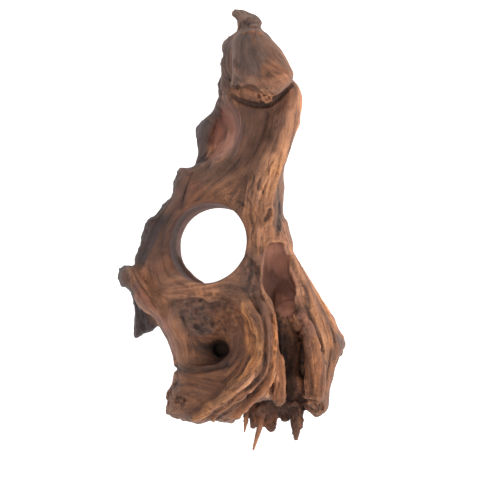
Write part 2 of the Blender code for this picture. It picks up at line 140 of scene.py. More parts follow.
def smooth_line(points: Sequence[Row], closed: bool = False) -> Array:
    """Follows a smooth curve through the points.

    Args:
        points: places along the line, with any number of columns.
        closed: whether the last place joins the first.

    Returns:
        The denser line, one row for each place.
    """
    given = np.array(points, float)
    if closed:
        ring = np.vstack([given[-1:], given, given[:2]])
    else:
        ring = np.vstack([2 * given[0] - given[1], given, 2 * given[-1] - given[-2]])
    share = np.arange(CURVE_STEPS)[:, None] / CURVE_STEPS
    spans = []
    for before, start, end, after in zip(ring, ring[1:], ring[2:], ring[3:]):
        bend = 2 * before - 5 * start + 4 * end - after
        twist = 3 * (start - end) + after - before
        spans.append(0.5 * (2 * start + (end - before) * share + bend * share**2 + twist * share**3))
    line = np.vstack(spans)
    return line if closed else np.vstack([line, given[-1]])


def eased(value: Array) -> Array:
    """Clips to 0 and 1, and eases both ends."""
    value = np.clip(value, 0, 1)
    return value * value * (3 - 2 * value)


def from_bar(x: Array, y: Array, z: Array, start: Array, end: Array) -> Array:
    """Signed distance to a round bar whose radius changes from start to end.

    Args:
        x, y, z: the places.
        start: x, y, z and radius of one end.
        end: the same of the other end.

    Returns:
        The distances, negative inside the bar.
    """
    ax, ay, az, ar = start.tolist()
    dx, dy, dz, dr = (end - start).tolist()
    reach = dx * dx + dy * dy + dz * dz + TINY
    along = np.clip(((x - ax) * dx + (y - ay) * dy + (z - az) * dz) / reach, 0, 1)
    apart = (x - ax - along * dx) ** 2 + (y - ay - along * dy) ** 2 + (z - az - along * dz) ** 2
    return np.sqrt(apart) - ar - along * dr


def felt(blend: float) -> float:
    """How far past its own edge a shape with that fillet changes the wood."""
    return BLEND_REACH * blend + MARGIN


class Block:
    """Wood as a grid of signed distances, negative inside."""

    def __init__(self, low: Row, high: Row, step: float) -> None:
        """Starts with open space.

        Args:
            low: lowest corner.
            high: highest corner.
            step: side of a cell.
        """
        self.step = step
        self.axes = [np.arange(a, b + step, step, dtype=np.float32) for a, b in zip(low, high)]
        self.field = np.full([len(axis) for axis in self.axes], FAR, np.float32)
        self.tops = np.zeros(self.field.shape[:2])

    def window(self, low: Array, high: Array, reach: float) -> tuple[Cut, Array, Array, Array]:
        """Finds the part of the grid round a box.

        Args:
            low: the box's lowest corner.
            high: its highest corner.
            reach: how much further the window goes.

        Returns:
            Slices into the field, and its x, y and z as arrays that broadcast together.
        """
        cut = []
        for axis, a, b in zip(self.axes, low, high):
            first, last = np.searchsorted(axis, (a - reach, b + reach))
            cut.append(slice(max(int(first) - 1, 0), int(last) + 1))
        x, y, z = (axis[part] for axis, part in zip(self.axes, cut))
        return tuple(cut), x[:, None, None], y[None, :, None], z[None, None, :]

    def near(self, line: Array, reach: float) -> tuple[Cut, Array]:
        """Measures how far the grid is from a strand, close to it.

        Args:
            line: x, y, z and radius of places along the strand.
            reach: how far past the thickest radius is measured.

        Returns:
            Slices into the field, and the signed distances there.
        """
        reach += line[:, 3].max()
        cut, x, y, z = self.window(line[:, :3].min(0), line[:, :3].max(0), reach)
        nearest = np.full((x.size, y.size, z.size), FAR, np.float32)
        for start, end in zip(line, line[1:]):
            part = []
            for axis, a, b in zip((x.ravel(), y.ravel(), z.ravel()), start[:3], end[:3]):
                first, last = np.searchsorted(axis, (min(a, b) - reach, max(a, b) + reach))
                part.append(slice(int(first), int(last)))
            here = tuple(part)
            away = from_bar(x[here[0]], y[:, here[1]], z[:, :, here[2]], start, end)
            nearest[here] = np.minimum(nearest[here], away)
        return cut, nearest

    def work(self, cut: Cut, shape: Array, blend: float, tool: Tool) -> None:
        """Joins a shape to the wood, or takes it out.

        Args:
            cut: the window that the shape was worked out in.
            shape: its signed distances there.
            blend: about how wide the fillet or the eased edge is.
            tool: whether it adds or carves.
        """
        here = self.field[cut]
        if tool is Tool.ADD:
            share = np.clip(0.5 + 0.5 * (here - shape) / blend, 0, 1)
            self.field[cut] = here + (shape - here) * share - blend * share * (1 - share)
        else:
            share = np.clip(0.5 - 0.5 * (here + shape) / blend, 0, 1)
            self.field[cut] = here - (shape + here) * share + blend * share * (1 - share)

    def survey(self) -> None:
        """Notes the height of the wood's upper side at each place."""
        wood = self.field < 0
        top = wood.shape[2] - 1 - wood[:, :, ::-1].argmax(axis=2)
        top = np.minimum(top, wood.shape[2] - 2)[:, :, None]
        here = np.take_along_axis(self.field, top, 2)[:, :, 0]
        above = np.take_along_axis(self.field, top + 1, 2)[:, :, 0]
        share = np.clip(here / (here - above - FAINT), 0, 1)
        height = self.axes[2][top[:, :, 0]] + share * self.step
        self.tops = np.where(wood.any(axis=2), height, 0.0)

    def lay(self, places: Sequence[Row], sink: float = 0.0) -> Array:
        """Follows a smooth line, laid on the wood's upper side if its places have no height.

        Args:
            places: x, y and radius of each place, or x, y, z and radius.
            sink: how far under the surface a line that is laid on it runs.

        Returns:
            x, y, z and radius of places along the line.
        """
        line = smooth_line(places)
        if line.shape[1] == 4:
            return line
        across, up, _ = self.nodes_of(np.column_stack([line[:, :2], line[:, 2]]))
        return np.column_stack([line[:, :2], self.tops[across, up] - sink, line[:, 2]])

    def nodes_of(self, points: Array) -> tuple[Array, ...]:
        """Finds the grid places nearest to some points.

        Args:
            points: the places.

        Returns:
            Three arrays of indices.
        """
        index = []
        for column, axis in enumerate(self.axes):
            place = np.rint((points[:, column] - axis[0]) / self.step).astype(np.int32)
            index.append(np.clip(place, 0, len(axis) - 1))
        return tuple(index)

    def noise(self, cell: float, rng: np.random.Generator) -> Array:
        """Smooth noise from -1 to 1 over the whole grid.

        Args:
            cell: size of its lumps.
            rng: source of the random numbers.

        Returns:
            One value for each place of the grid.
        """
        counts = [int(len(axis) * self.step / cell) + 3 for axis in self.axes]
        values = rng.uniform(-1, 1, counts).astype(np.float32)
        for column, axis in enumerate(self.axes):
            place = (axis - axis[0]) / cell
            first = place.astype(int)
            share = eased(place - first).reshape([-1 if i == column else 1 for i in range(3)])
            share = share.astype(np.float32)
            values = values.take(first, column) * (1 - share) + values.take(first + 1, column) * share
        return values


@dataclass(frozen=True)
class Lobe:
    """A swelling with a drawn outline, a back and a front, and a rounded edge."""

    outline: Sequence[Row]
    spots: Sequence[Row]
    edge: float
    blend: float

    def outline_distance(self, x: Array, y: Array) -> Array:
        """Measures how far places on a flat grid are from the outline.

        Args:
            x, y: the grid's columns and rows.

        Returns:
            The signed distances, negative inside.
        """
        corners = smooth_line(self.outline, closed=True)
        nearest = np.full(np.broadcast(x, y).shape, FAR**2)
        inside = np.zeros(nearest.shape, bool)
        for (ax, ay), (bx, by) in zip(corners, np.roll(corners, -1, axis=0)):
            dx, dy = bx - ax, by - ay
            along = np.clip(((x - ax) * dx + (y - ay) * dy) / (dx * dx + dy * dy), 0, 1)
            nearest = np.minimum(nearest, (x - ax - along * dx) ** 2 + (y - ay - along * dy) ** 2)
            if ay != by:
                inside ^= ((ay > y) != (by > y)) & (x < ax + (y - ay) * dx / dy)
        return np.where(inside, -1, 1) * np.sqrt(nearest)

    def heights(self, x: Array, y: Array) -> tuple[Array, Array]:
        """Draws smooth maps through the spot heights.

        Args:
            x, y: a flat grid's columns and rows.

        Returns:
            The heights of the back and of the front.
        """
        total, back, front = TINY, 0.0, 0.0
        for sx, sy, low, high in self.spots:
            weight = np.exp(-((x - sx) ** 2 + (y - sy) ** 2) / (2 * SPREAD**2)) + TINY
            total, back, front = total + weight, back + weight * low, front + weight * high
        return back / total, front / total

    def apply(self, block: Block) -> None:
        """Grows the lobe on the wood.

        Args:
            block: the wood.
        """
        flat, tall = np.array(self.outline, float), np.array(self.spots, float)
        low, high = (*flat.min(0), tall[:, 2].min()), (*flat.max(0), tall[:, 3].max())
        cut, x, y, z = block.window(low, high, felt(self.blend))
        back, front = (side.astype(np.float32) for side in self.heights(x, y))
        inward = (1 - np.minimum(-self.outline_distance(x, y) / self.edge, 1)).astype(np.float32)
        middle, half = (back + front) / 2, (front - back) / 2
        upward = (np.abs(z - middle) + OFF_MIDDLE) / half
        radius = np.sqrt(inward**2 + upward**2)
        slope = np.sqrt((inward / self.edge) ** 2 + (upward / half) ** 2)
        block.work(cut, (radius - 1) * radius / slope, self.blend, Tool.ADD)


@dataclass(frozen=True)
class Strand:
    """A round rib, or a round-bottomed hollow, along a smooth line.

    Its places are x, y, z and radius, or x, y and radius where it is laid on the wood, sunk by some depth.
    """

    places: Sequence[Row]
    blend: float
    tool: Tool = Tool.ADD
    sink: float = 0.0

    def apply(self, block: Block) -> None:
        """Lays the rib on the block, or carves the hollow."""
        cut, nearest = block.near(block.lay(self.places, self.sink), felt(self.blend))
        block.work(cut, nearest, self.blend, self.tool)


def groove(places: Sequence[Row], blend: float, sink: float = 0.0) -> Strand:
    """A hollow along a smooth line."""
    return Strand(places, blend, Tool.CARVE, sink)


@dataclass(frozen=True)
class Specks:
    """Small pits, or grains, strewn on the wood's upper side in a round patch.

    They are from least to most times their size, and a little longer than they are wide.
    """

    x: float
    y: float
    reach: float
    count: int
    size: float
    tool: Tool = Tool.CARVE
    least: float = 0.6
    most: float = 1.3
    longer: float = 0.4
    blend: float = 0.4

    def apply(self, block: Block, rng: np.random.Generator) -> None:
        """Strews them on the block.

        Args:
            block: the wood.
            rng: source of the random numbers.
        """
        for _ in range(self.count):
            angle, share = rng.uniform(0, 2 * np.pi), rng.uniform(0, 1) ** 0.5
            radius = self.size * rng.uniform(self.least, self.most)
            x = self.x + self.reach * share * np.cos(angle)
            y = self.y + self.reach * share * np.sin(angle)
            places = [(x, y, radius), (x + self.longer * radius, y, radius)]
            Strand(places, self.blend, self.tool).apply(block)


@dataclass(frozen=True)
class Bore:
    """A drilled hole: its radius, two places on its axis, how far it runs past each, and its rim's wear."""

    radius: float
    top: Row
    foot: Row
    past_top: float
    past_foot: float
    rim: float = 1.0

    def distance(self, x: Array, y: Array, z: Array) -> Array:
        """Measures how far places are from the hole.

        Args:
            x, y, z: the places.

        Returns:
            The signed distances, negative inside it.
        """
        top, foot = np.array(self.top), np.array(self.foot)
        length = float(np.linalg.norm(top - foot))
        ux, uy, uz = ((top - foot) / length).tolist()
        px, py, pz = x - foot[0], y - foot[1], z - foot[2]
        along = px * ux + py * uy + pz * uz
        apart = np.sqrt(np.maximum(px * px + py * py + pz * pz - along * along, 0))
        ends = np.maximum(-self.past_foot - along, along - length - self.past_top)
        return np.maximum(apart - self.radius, ends)

    def apply(self, block: Block) -> None:
        """Drills the wood.

        Args:
            block: the wood.
        """
        low, high = np.minimum(self.top, self.foot), np.maximum(self.top, self.foot)
        reach = self.radius + max(self.past_top, self.past_foot) + MARGIN
        cut, x, y, z = block.window(low, high, reach)
        block.work(cut, self.distance(x, y, z).astype(np.float32), self.rim, Tool.CARVE)


@dataclass(frozen=True)
class Patch:
    """A stretch of wood with a hue or a wear of its own, or with painted light and shade, along places as in
    Strand, fading out round them.
    """

    kind: Look
    places: Sequence[Row]
    fade: float
    strength: float

    def amount(self, points: Array, block: Block, ragged: Array) -> Array:
        """How strongly it shows at each point.

        Args:
            points: the places.
            block: the wood.
            ragged: noise combed along the fibres, which frays the patch's edge.

        Returns:
            A value from 0 to its strength for each point.
        """
        line = block.lay(self.places)
        reach = line[:, 3].max() + 2 * self.fade
        low, high = line[:, :3].min(0) - reach, line[:, :3].max(0) + reach
        near = np.flatnonzero(((points > low) & (points < high)).all(1))
        x, y, z = points[near].T
        nearest = np.full(len(near), FAR)
        for start, end in zip(line, line[1:]):
            nearest = np.minimum(nearest, from_bar(x, y, z, start, end))
        amount = np.zeros(len(points))
        amount[near] = self.strength * eased(1 - nearest / self.fade + FRAY * ragged[near])
        return amount

    def crumble(self, block: Block, crumbs: Array) -> None:
        """Roughens the block by its strength with crumbs, the lumps and pits over the whole grid."""
        cut, nearest = block.near(block.lay(self.places), self.fade)
        block.field[cut] += self.strength * eased(1 - nearest / self.fade) * crumbs[cut]


@dataclass(frozen=True)
class Swirl:
    """A round patch, seen from above, in which the fibres wander as in a burr."""

    x: float
    y: float
    radius: float
    turn: float


@dataclass
class Skin:
    """The wood's surface and the joints between its parts, as four-sided faces.

    A face has an owner, the part whose wood it bounds. It is open where there is no wood on its far side.
    """

    points: Array
    faces: Array
    owners: Array
    open: Array
    normals: Array = field(default_factory=lambda: np.empty(0))
    marks: dict[str, Array] = field(default_factory=dict)

    def settle_normals(self) -> None:
        """Works out the normal of each point from the open faces round it. A joint's points get none."""
        faces = self.faces[self.open]
        a, b, c, d = (self.points[faces[:, corner]] for corner in range(4))
        facing = np.cross(c - a, d - b)
        self.normals = np.empty_like(self.points)
        for column in range(3):
            sums = [np.bincount(faces[:, i], facing[:, column], len(self.points)) for i in range(4)]
            self.normals[:, column] = np.sum(sums, axis=0)
        self.normals /= np.linalg.norm(self.normals, axis=1, keepdims=True) + TINY

    def soften(self, values: Array) -> Array:
        """Averages values with those of the neighbouring points.

        Args:
            values: one value for each point.

        Returns:
            The averaged values.
        """
        faces = self.faces[self.open]
        count = np.bincount(faces.ravel(), minlength=len(self.points))
        mean = values[faces].mean(1)
        total = sum(np.bincount(faces[:, i], mean, len(self.points)) for i in range(4))
        return np.where(count > 0, total / np.maximum(count, 1), values)


def stretch(grid: Array, start: Sequence[int], shape: Sequence[int]) -> Array:
    """The part of a grid that begins at a place and has that shape."""
    return grid[tuple(slice(first, first + count) for first, count in zip(start, shape))]


def settle_corners(grid: Array, step: float) -> None:
    """Fills the grid squares whose wood meets only at two corners, which would give edges with four faces.

    Args:
        grid: the signed distances, changed in place.
        step: side of a cell.
    """
    crossed_any = True
    while crossed_any:
        wood = grid < 0
        crossed_any = False
        for flat in range(3):
            one, two = (axis for axis in range(3) if axis != flat)
            shape = [count - (axis != flat) for axis, count in enumerate(grid.shape)]
            starts = []
            for a, b in ((0, 0), (1, 1), (0, 1), (1, 0)):
                start = [0, 0, 0]
                start[one], start[two] = a, b
                starts.append(start)
            low, high, left, right = (stretch(wood, start, shape) for start in starts)
            crossed = (low == high) & (left == right) & (low != left)
            if crossed.any():
                crossed_any = True
                for start in starts:
                    part = stretch(grid, start, shape)
                    part[crossed & (part >= 0)] = -SLIGHT * step


def cell_points(grid: Array, owner: Array, cells: Array) -> Array:
    """Places a point in each cell, on the wood's surface if it crosses the cell, and else amid the joint.

    Args:
        grid: the signed distances.
        owner: the part at each place of the grid, 0 in open space.
        cells: lowest corner of each cell.

    Returns:
        The points, in cells.
    """
    sums = {True: np.zeros((len(cells), 3)), False: np.zeros((len(cells), 3))}
    counts = {True: np.zeros(len(cells)), False: np.zeros(len(cells))}
    for number in range(8):
        first = [number >> 2 & 1, number >> 1 & 1, number & 1]
        for axis in range(3):
            if first[axis]:
                continue
            second = list(first)
            second[axis] = 1
            start, end = tuple((cells + first).T), tuple((cells + second).T)
            here, there = grid[start].astype(float), grid[end].astype(float)
            surface = (here < 0) != (there < 0)
            joint = ~surface & (owner[start] != owner[end])
            place = np.tile(np.array(first, float), (len(cells), 1))
            place[surface, axis] += here[surface] / (here[surface] - there[surface])
            place[joint, axis] += 0.5
            for is_surface, crossed in ((True, surface), (False, joint)):
                sums[is_surface][crossed] += place[crossed]
                counts[is_surface] += crossed
    on_surface = (counts[True] > 0)[:, None]
    place = [sums[kind] / np.maximum(counts[kind], 1)[:, None] for kind in (True, False)]
    return cells + np.where(on_surface, *place)


def skin_of(block: Block, parts: Sequence["SubAssembly"]) -> Skin:
    """Finds the skin by surface nets: a point in each cell that it crosses, a face on each crossed grid edge.

    Args:
        block: the carved wood.
        parts: the sub-assemblies, each of which takes what those before it left.

    Returns:
        The skin, in millimetres.
    """
    settle_corners(block.field, block.step)
    x, y, z = block.axes
    owner = np.zeros(block.field.shape, np.int8)
    for number, part in enumerate(parts, start=1):
        taken = part.holds(x[:, None, None], y[None, :, None], z[None, None, :])
        owner[(block.field < 0) & (owner == 0) & taken] = number
    shape = [count - 1 for count in owner.shape]
    corners = [(a, b, c) for a in (0, 1) for b in (0, 1) for c in (0, 1)]
    low = high = stretch(owner, corners[0], shape)
    for corner in corners[1:]:
        other = stretch(owner, corner, shape)
        low, high = np.minimum(low, other), np.maximum(high, other)
    cells = np.argwhere(low != high)
    number = np.full(shape, -1, np.int32)
    number[tuple(cells.T)] = np.arange(len(cells))
    points = cell_points(block.field, owner, cells) * block.step + [axis[0] for axis in block.axes]
    faces, owners, opens = [], [], []
    for axis in range(3):
        along = np.eye(3, dtype=int)[axis]
        one, two = (np.eye(3, dtype=int)[other] for other in range(3) if other != axis)
        lines = [size - step for size, step in zip(owner.shape, along)]
        start, end = stretch(owner, (0, 0, 0), lines), stretch(owner, along, lines)
        for leaving, mine, other in ((True, start, end), (False, end, start)):
            base = np.argwhere((mine != other) & (mine > 0))
            ring = [base - one - two, base - two, base, base - one]
            face = np.stack([number[tuple(corner.T)] for corner in ring], axis=1)
            faces.append(face if leaving == (axis != 1) else face[:, ::-1])
            owners.append(mine[tuple(base.T)])
            opens.append(other[tuple(base.T)] == 0)
    return Skin(points, np.vstack(faces), np.concatenate(owners), np.concatenate(opens))


class Fibres:
    """The direction that the wood's fibres run in, and noise that is combed along them."""

    MAP_STEP = 2.0
    STRIDE = 1.2  # length of a step along a fibre
    SKIP = 4  # grid places from one reading of the layers to the next
    DEPTH = 12.0  # how far from the skin the layers are told apart
    SOFTNESS = 6.0
    SWIRL_EDGE = 1.3
    WAVES = (0.43, 0.37, 0.21)  # pitches of a swirl's waves
    UPRIGHT = 1e-3  # least length of a direction, for a fibre that would stand upright

    def __init__(self, lines: Sequence[Sequence[Row]], swirls: Sequence[Swirl], block: Block) -> None:
        """Maps the direction of the fibres from lines drawn along them.

        Args:
            lines: fibre lines, as x and y.
            swirls: the patches in which the fibres wander.
            block: the wood, whose layers the fibres follow.
        """
        self.block = block
        self.x = np.arange(BLOCK_LOW[0], BLOCK_HIGH[0], self.MAP_STEP)
        self.y = np.arange(BLOCK_LOW[1], BLOCK_HIGH[1], self.MAP_STEP)
        across, up = self.x[:, None], self.y[None, :]
        # A fibre has no head or tail, so directions are averaged as doubled angles.
        even, odd = 0.0, 0.0
        for line in lines:
            dense = smooth_line(line)
            for (ax, ay), (bx, by) in zip(dense[:-1:2], dense[1::2]):
                angle = 2 * np.arctan2(by - ay, bx - ax)
                weight = 1 / ((across - ax) ** 2 + (up - ay) ** 2 + self.SOFTNESS) ** 2
                even, odd = even + weight * np.cos(angle), odd + weight * np.sin(angle)
        angle = np.arctan2(odd, even)
        one, two, slant = self.WAVES
        for index, swirl in enumerate(swirls):
            near = eased(self.SWIRL_EDGE - np.hypot(across - swirl.x, up - swirl.y) / swirl.radius)
            wander = np.sin(across * one + index) * np.cos(up * two - index) + np.sin((across + up) * slant)
            angle = angle + near * swirl.turn * wander
        self.even, self.odd = np.cos(angle), np.sin(angle)
        slopes = np.gradient(self.coarse_field())
        size = np.sqrt(sum(slope**2 for slope in slopes)) + FAINT
        self.slopes = np.stack([slope / size for slope in slopes], axis=-1).astype(np.float32)

    def coarse_field(self) -> Array:
        """Reads the block's distances at every few places.

        Returns:
            The distances, averaged a little.
        """
        coarse = np.clip(self.block.field[:: self.SKIP, :: self.SKIP, :: self.SKIP], -self.DEPTH, self.DEPTH)
        for axis in range(3):
            coarse = (np.roll(coarse, 1, axis) + 2 * coarse + np.roll(coarse, -1, axis)) / 4
        return coarse

    def direction(self, points: Array) -> Array:
        """Finds the way that the fibres run, lying in the wood's layers.

        Args:
            points: the places.

        Returns:
            A unit vector for each point.
        """
        i = np.clip(((points[:, 0] - self.x[0]) / self.MAP_STEP).astype(np.int32), 0, len(self.x) - 2)
        j = np.clip(((points[:, 1] - self.y[0]) / self.MAP_STEP).astype(np.int32), 0, len(self.y) - 2)
        s = np.clip((points[:, 0] - self.x[i]) / self.MAP_STEP, 0, 1)
        t = np.clip((points[:, 1] - self.y[j]) / self.MAP_STEP, 0, 1)
        mixed = []
        for chart in (self.even, self.odd):
            low = chart[i, j] * (1 - s) + chart[i + 1, j] * s
            high = chart[i, j + 1] * (1 - s) + chart[i + 1, j + 1] * s
            mixed.append(low * (1 - t) + high * t)
        angle = np.arctan2(mixed[1], mixed[0]) / 2
        flat = np.stack([np.cos(angle), np.sin(angle), np.zeros(len(angle))], axis=1)
        nodes = self.block.nodes_of(points)
        shape = self.slopes.shape
        slope = self.slopes[tuple(np.minimum(n // self.SKIP, size - 1) for n, size in zip(nodes, shape))]
        flat -= (flat * slope).sum(1, keepdims=True) * slope
        return flat / (np.linalg.norm(flat, axis=1, keepdims=True) + self.UPRIGHT)

    def comb(self, points: Array, noises: Sequence[tuple[Array, int]]) -> list[Array]:
        """Averages noises along the fibre through each point.

        Args:
            points: the places.
            noises: grids of noise, each with how many strides it is followed for.

        Returns:
            The combed value of each noise at each point, spread to a mean of 0 and a deviation of 1.
        """
        nodes = self.block.nodes_of(points)
        sums = [noise[nodes].astype(float) for noise, _ in noises]
        longest = max(strides for _, strides in noises)
        for way in (1, -1):
            place = points.copy()
            last = self.direction(points) * way
            for stride in range(longest):
                place = place + last * self.STRIDE
                heading = self.direction(place)
                heading *= np.where((heading * last).sum(1, keepdims=True) < 0, -1, 1)
                last = heading
                nodes = self.block.nodes_of(place)
                for index, (noise, strides) in enumerate(noises):
                    if stride < strides:
                        sums[index] += noise[nodes]
        return [(total - total.mean()) / total.std() for total in sums]


def crowding(block: Block, radius: float, points: Array) -> Array:
    """How much wood lies round each point: 0 on a crest, 0.5 on a flat, 1 deep in a hollow.

    Args:
        block: the wood.
        radius: half the side of the cube that is looked at.
        points: the places.

    Returns:
        One value for each point.
    """
    share = (block.field < 0).astype(np.float32)
    half = max(int(round(radius / block.step)), 1)
    for axis in range(3):
        width = [(0, 0)] * 3
        width[axis] = (half + 1, half)
        sums = np.cumsum(np.pad(share, width, mode="edge"), axis=axis, dtype=np.float32)
        size = share.shape[axis]
        first, last = [slice(None)] * 3, [slice(None)] * 3
        first[axis], last[axis] = slice(0, size), slice(2 * half + 1, 2 * half + 1 + size)
        share = (sums[tuple(last)] - sums[tuple(first)]) / (2 * half + 1)
    return share[block.nodes_of(points)].astype(float)


@dataclass
class SubAssembly:
    """A part of the wood: what it is carved from, how its fibres run, and how it is worn, coloured and
    painted with light and shade.
    """

    name: str = ""
    node: str = ""
    slot: str = ""
    lobes: Sequence[Lobe] = ()
    ribs: Sequence[Strand] = ()
    hollows: Sequence[Strand] = ()
    splinters: Sequence[Strand] = ()
    bores: Sequence[Bore] = ()
    details: Sequence[Strand] = ()
    rims: Sequence[Strand] = ()
    specks: Sequence[Specks] = ()
    fibres: Sequence[Sequence[Row]] = ()
    swirls: Sequence[Swirl] = ()
    patches: Sequence[Patch] = ()

    def holds(self, x: Array, y: Array, z: Array) -> Array:
        """Whether each place belongs to this sub-assembly, unless one before it took the place."""
        return np.ones(np.broadcast(x, y, z).shape, bool)

    def build(self, skin: Skin, number: int) -> bpy.types.Object:
        """Makes the closed piece of this sub-assembly.

        Args:
            skin: the whole wood's skin.
            number: this sub-assembly's number as an owner of faces.

        Returns:
            The new object.
        """
        mine = skin.owners == number
        used, faces = np.unique(skin.faces[mine], return_inverse=True)
        faces = faces.reshape(-1, 4)
        mesh = bpy.data.meshes.new(self.name)
        mesh.from_pydata((skin.points[used] * MM).tolist(), [], faces.tolist())
        mesh.polygons.foreach_set("use_smooth", skin.open[mine])
        for name, values in skin.marks.items():
            kind, key = ("FLOAT_COLOR", "color") if values.ndim == 2 else ("FLOAT", "value")
            layer = mesh.attributes.new(name, kind, "POINT")
            layer.data.foreach_set(key, values[used].astype(np.float32).ravel())
        mesh.normals_split_custom_set_from_vertices(skin.normals[used].tolist())
        piece = bpy.data.objects.new(self.name, mesh)
        bpy.context.scene.collection.objects.link(piece)
        log.info("%s: %d triangles", self.name, 2 * len(faces))
        return piece

    def dress(self, piece: bpy.types.Object, finish: "WoodFinish") -> None:
        """Gives the piece its finish, hangs it on the root body, and hides the CAD node of the same wood.

        Args:
            piece: the object that build made.
            finish: the wood's finish.
        """
        piece.data.materials.append(finish.material(self.slot))
        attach(piece, "root")
        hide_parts(self.node)


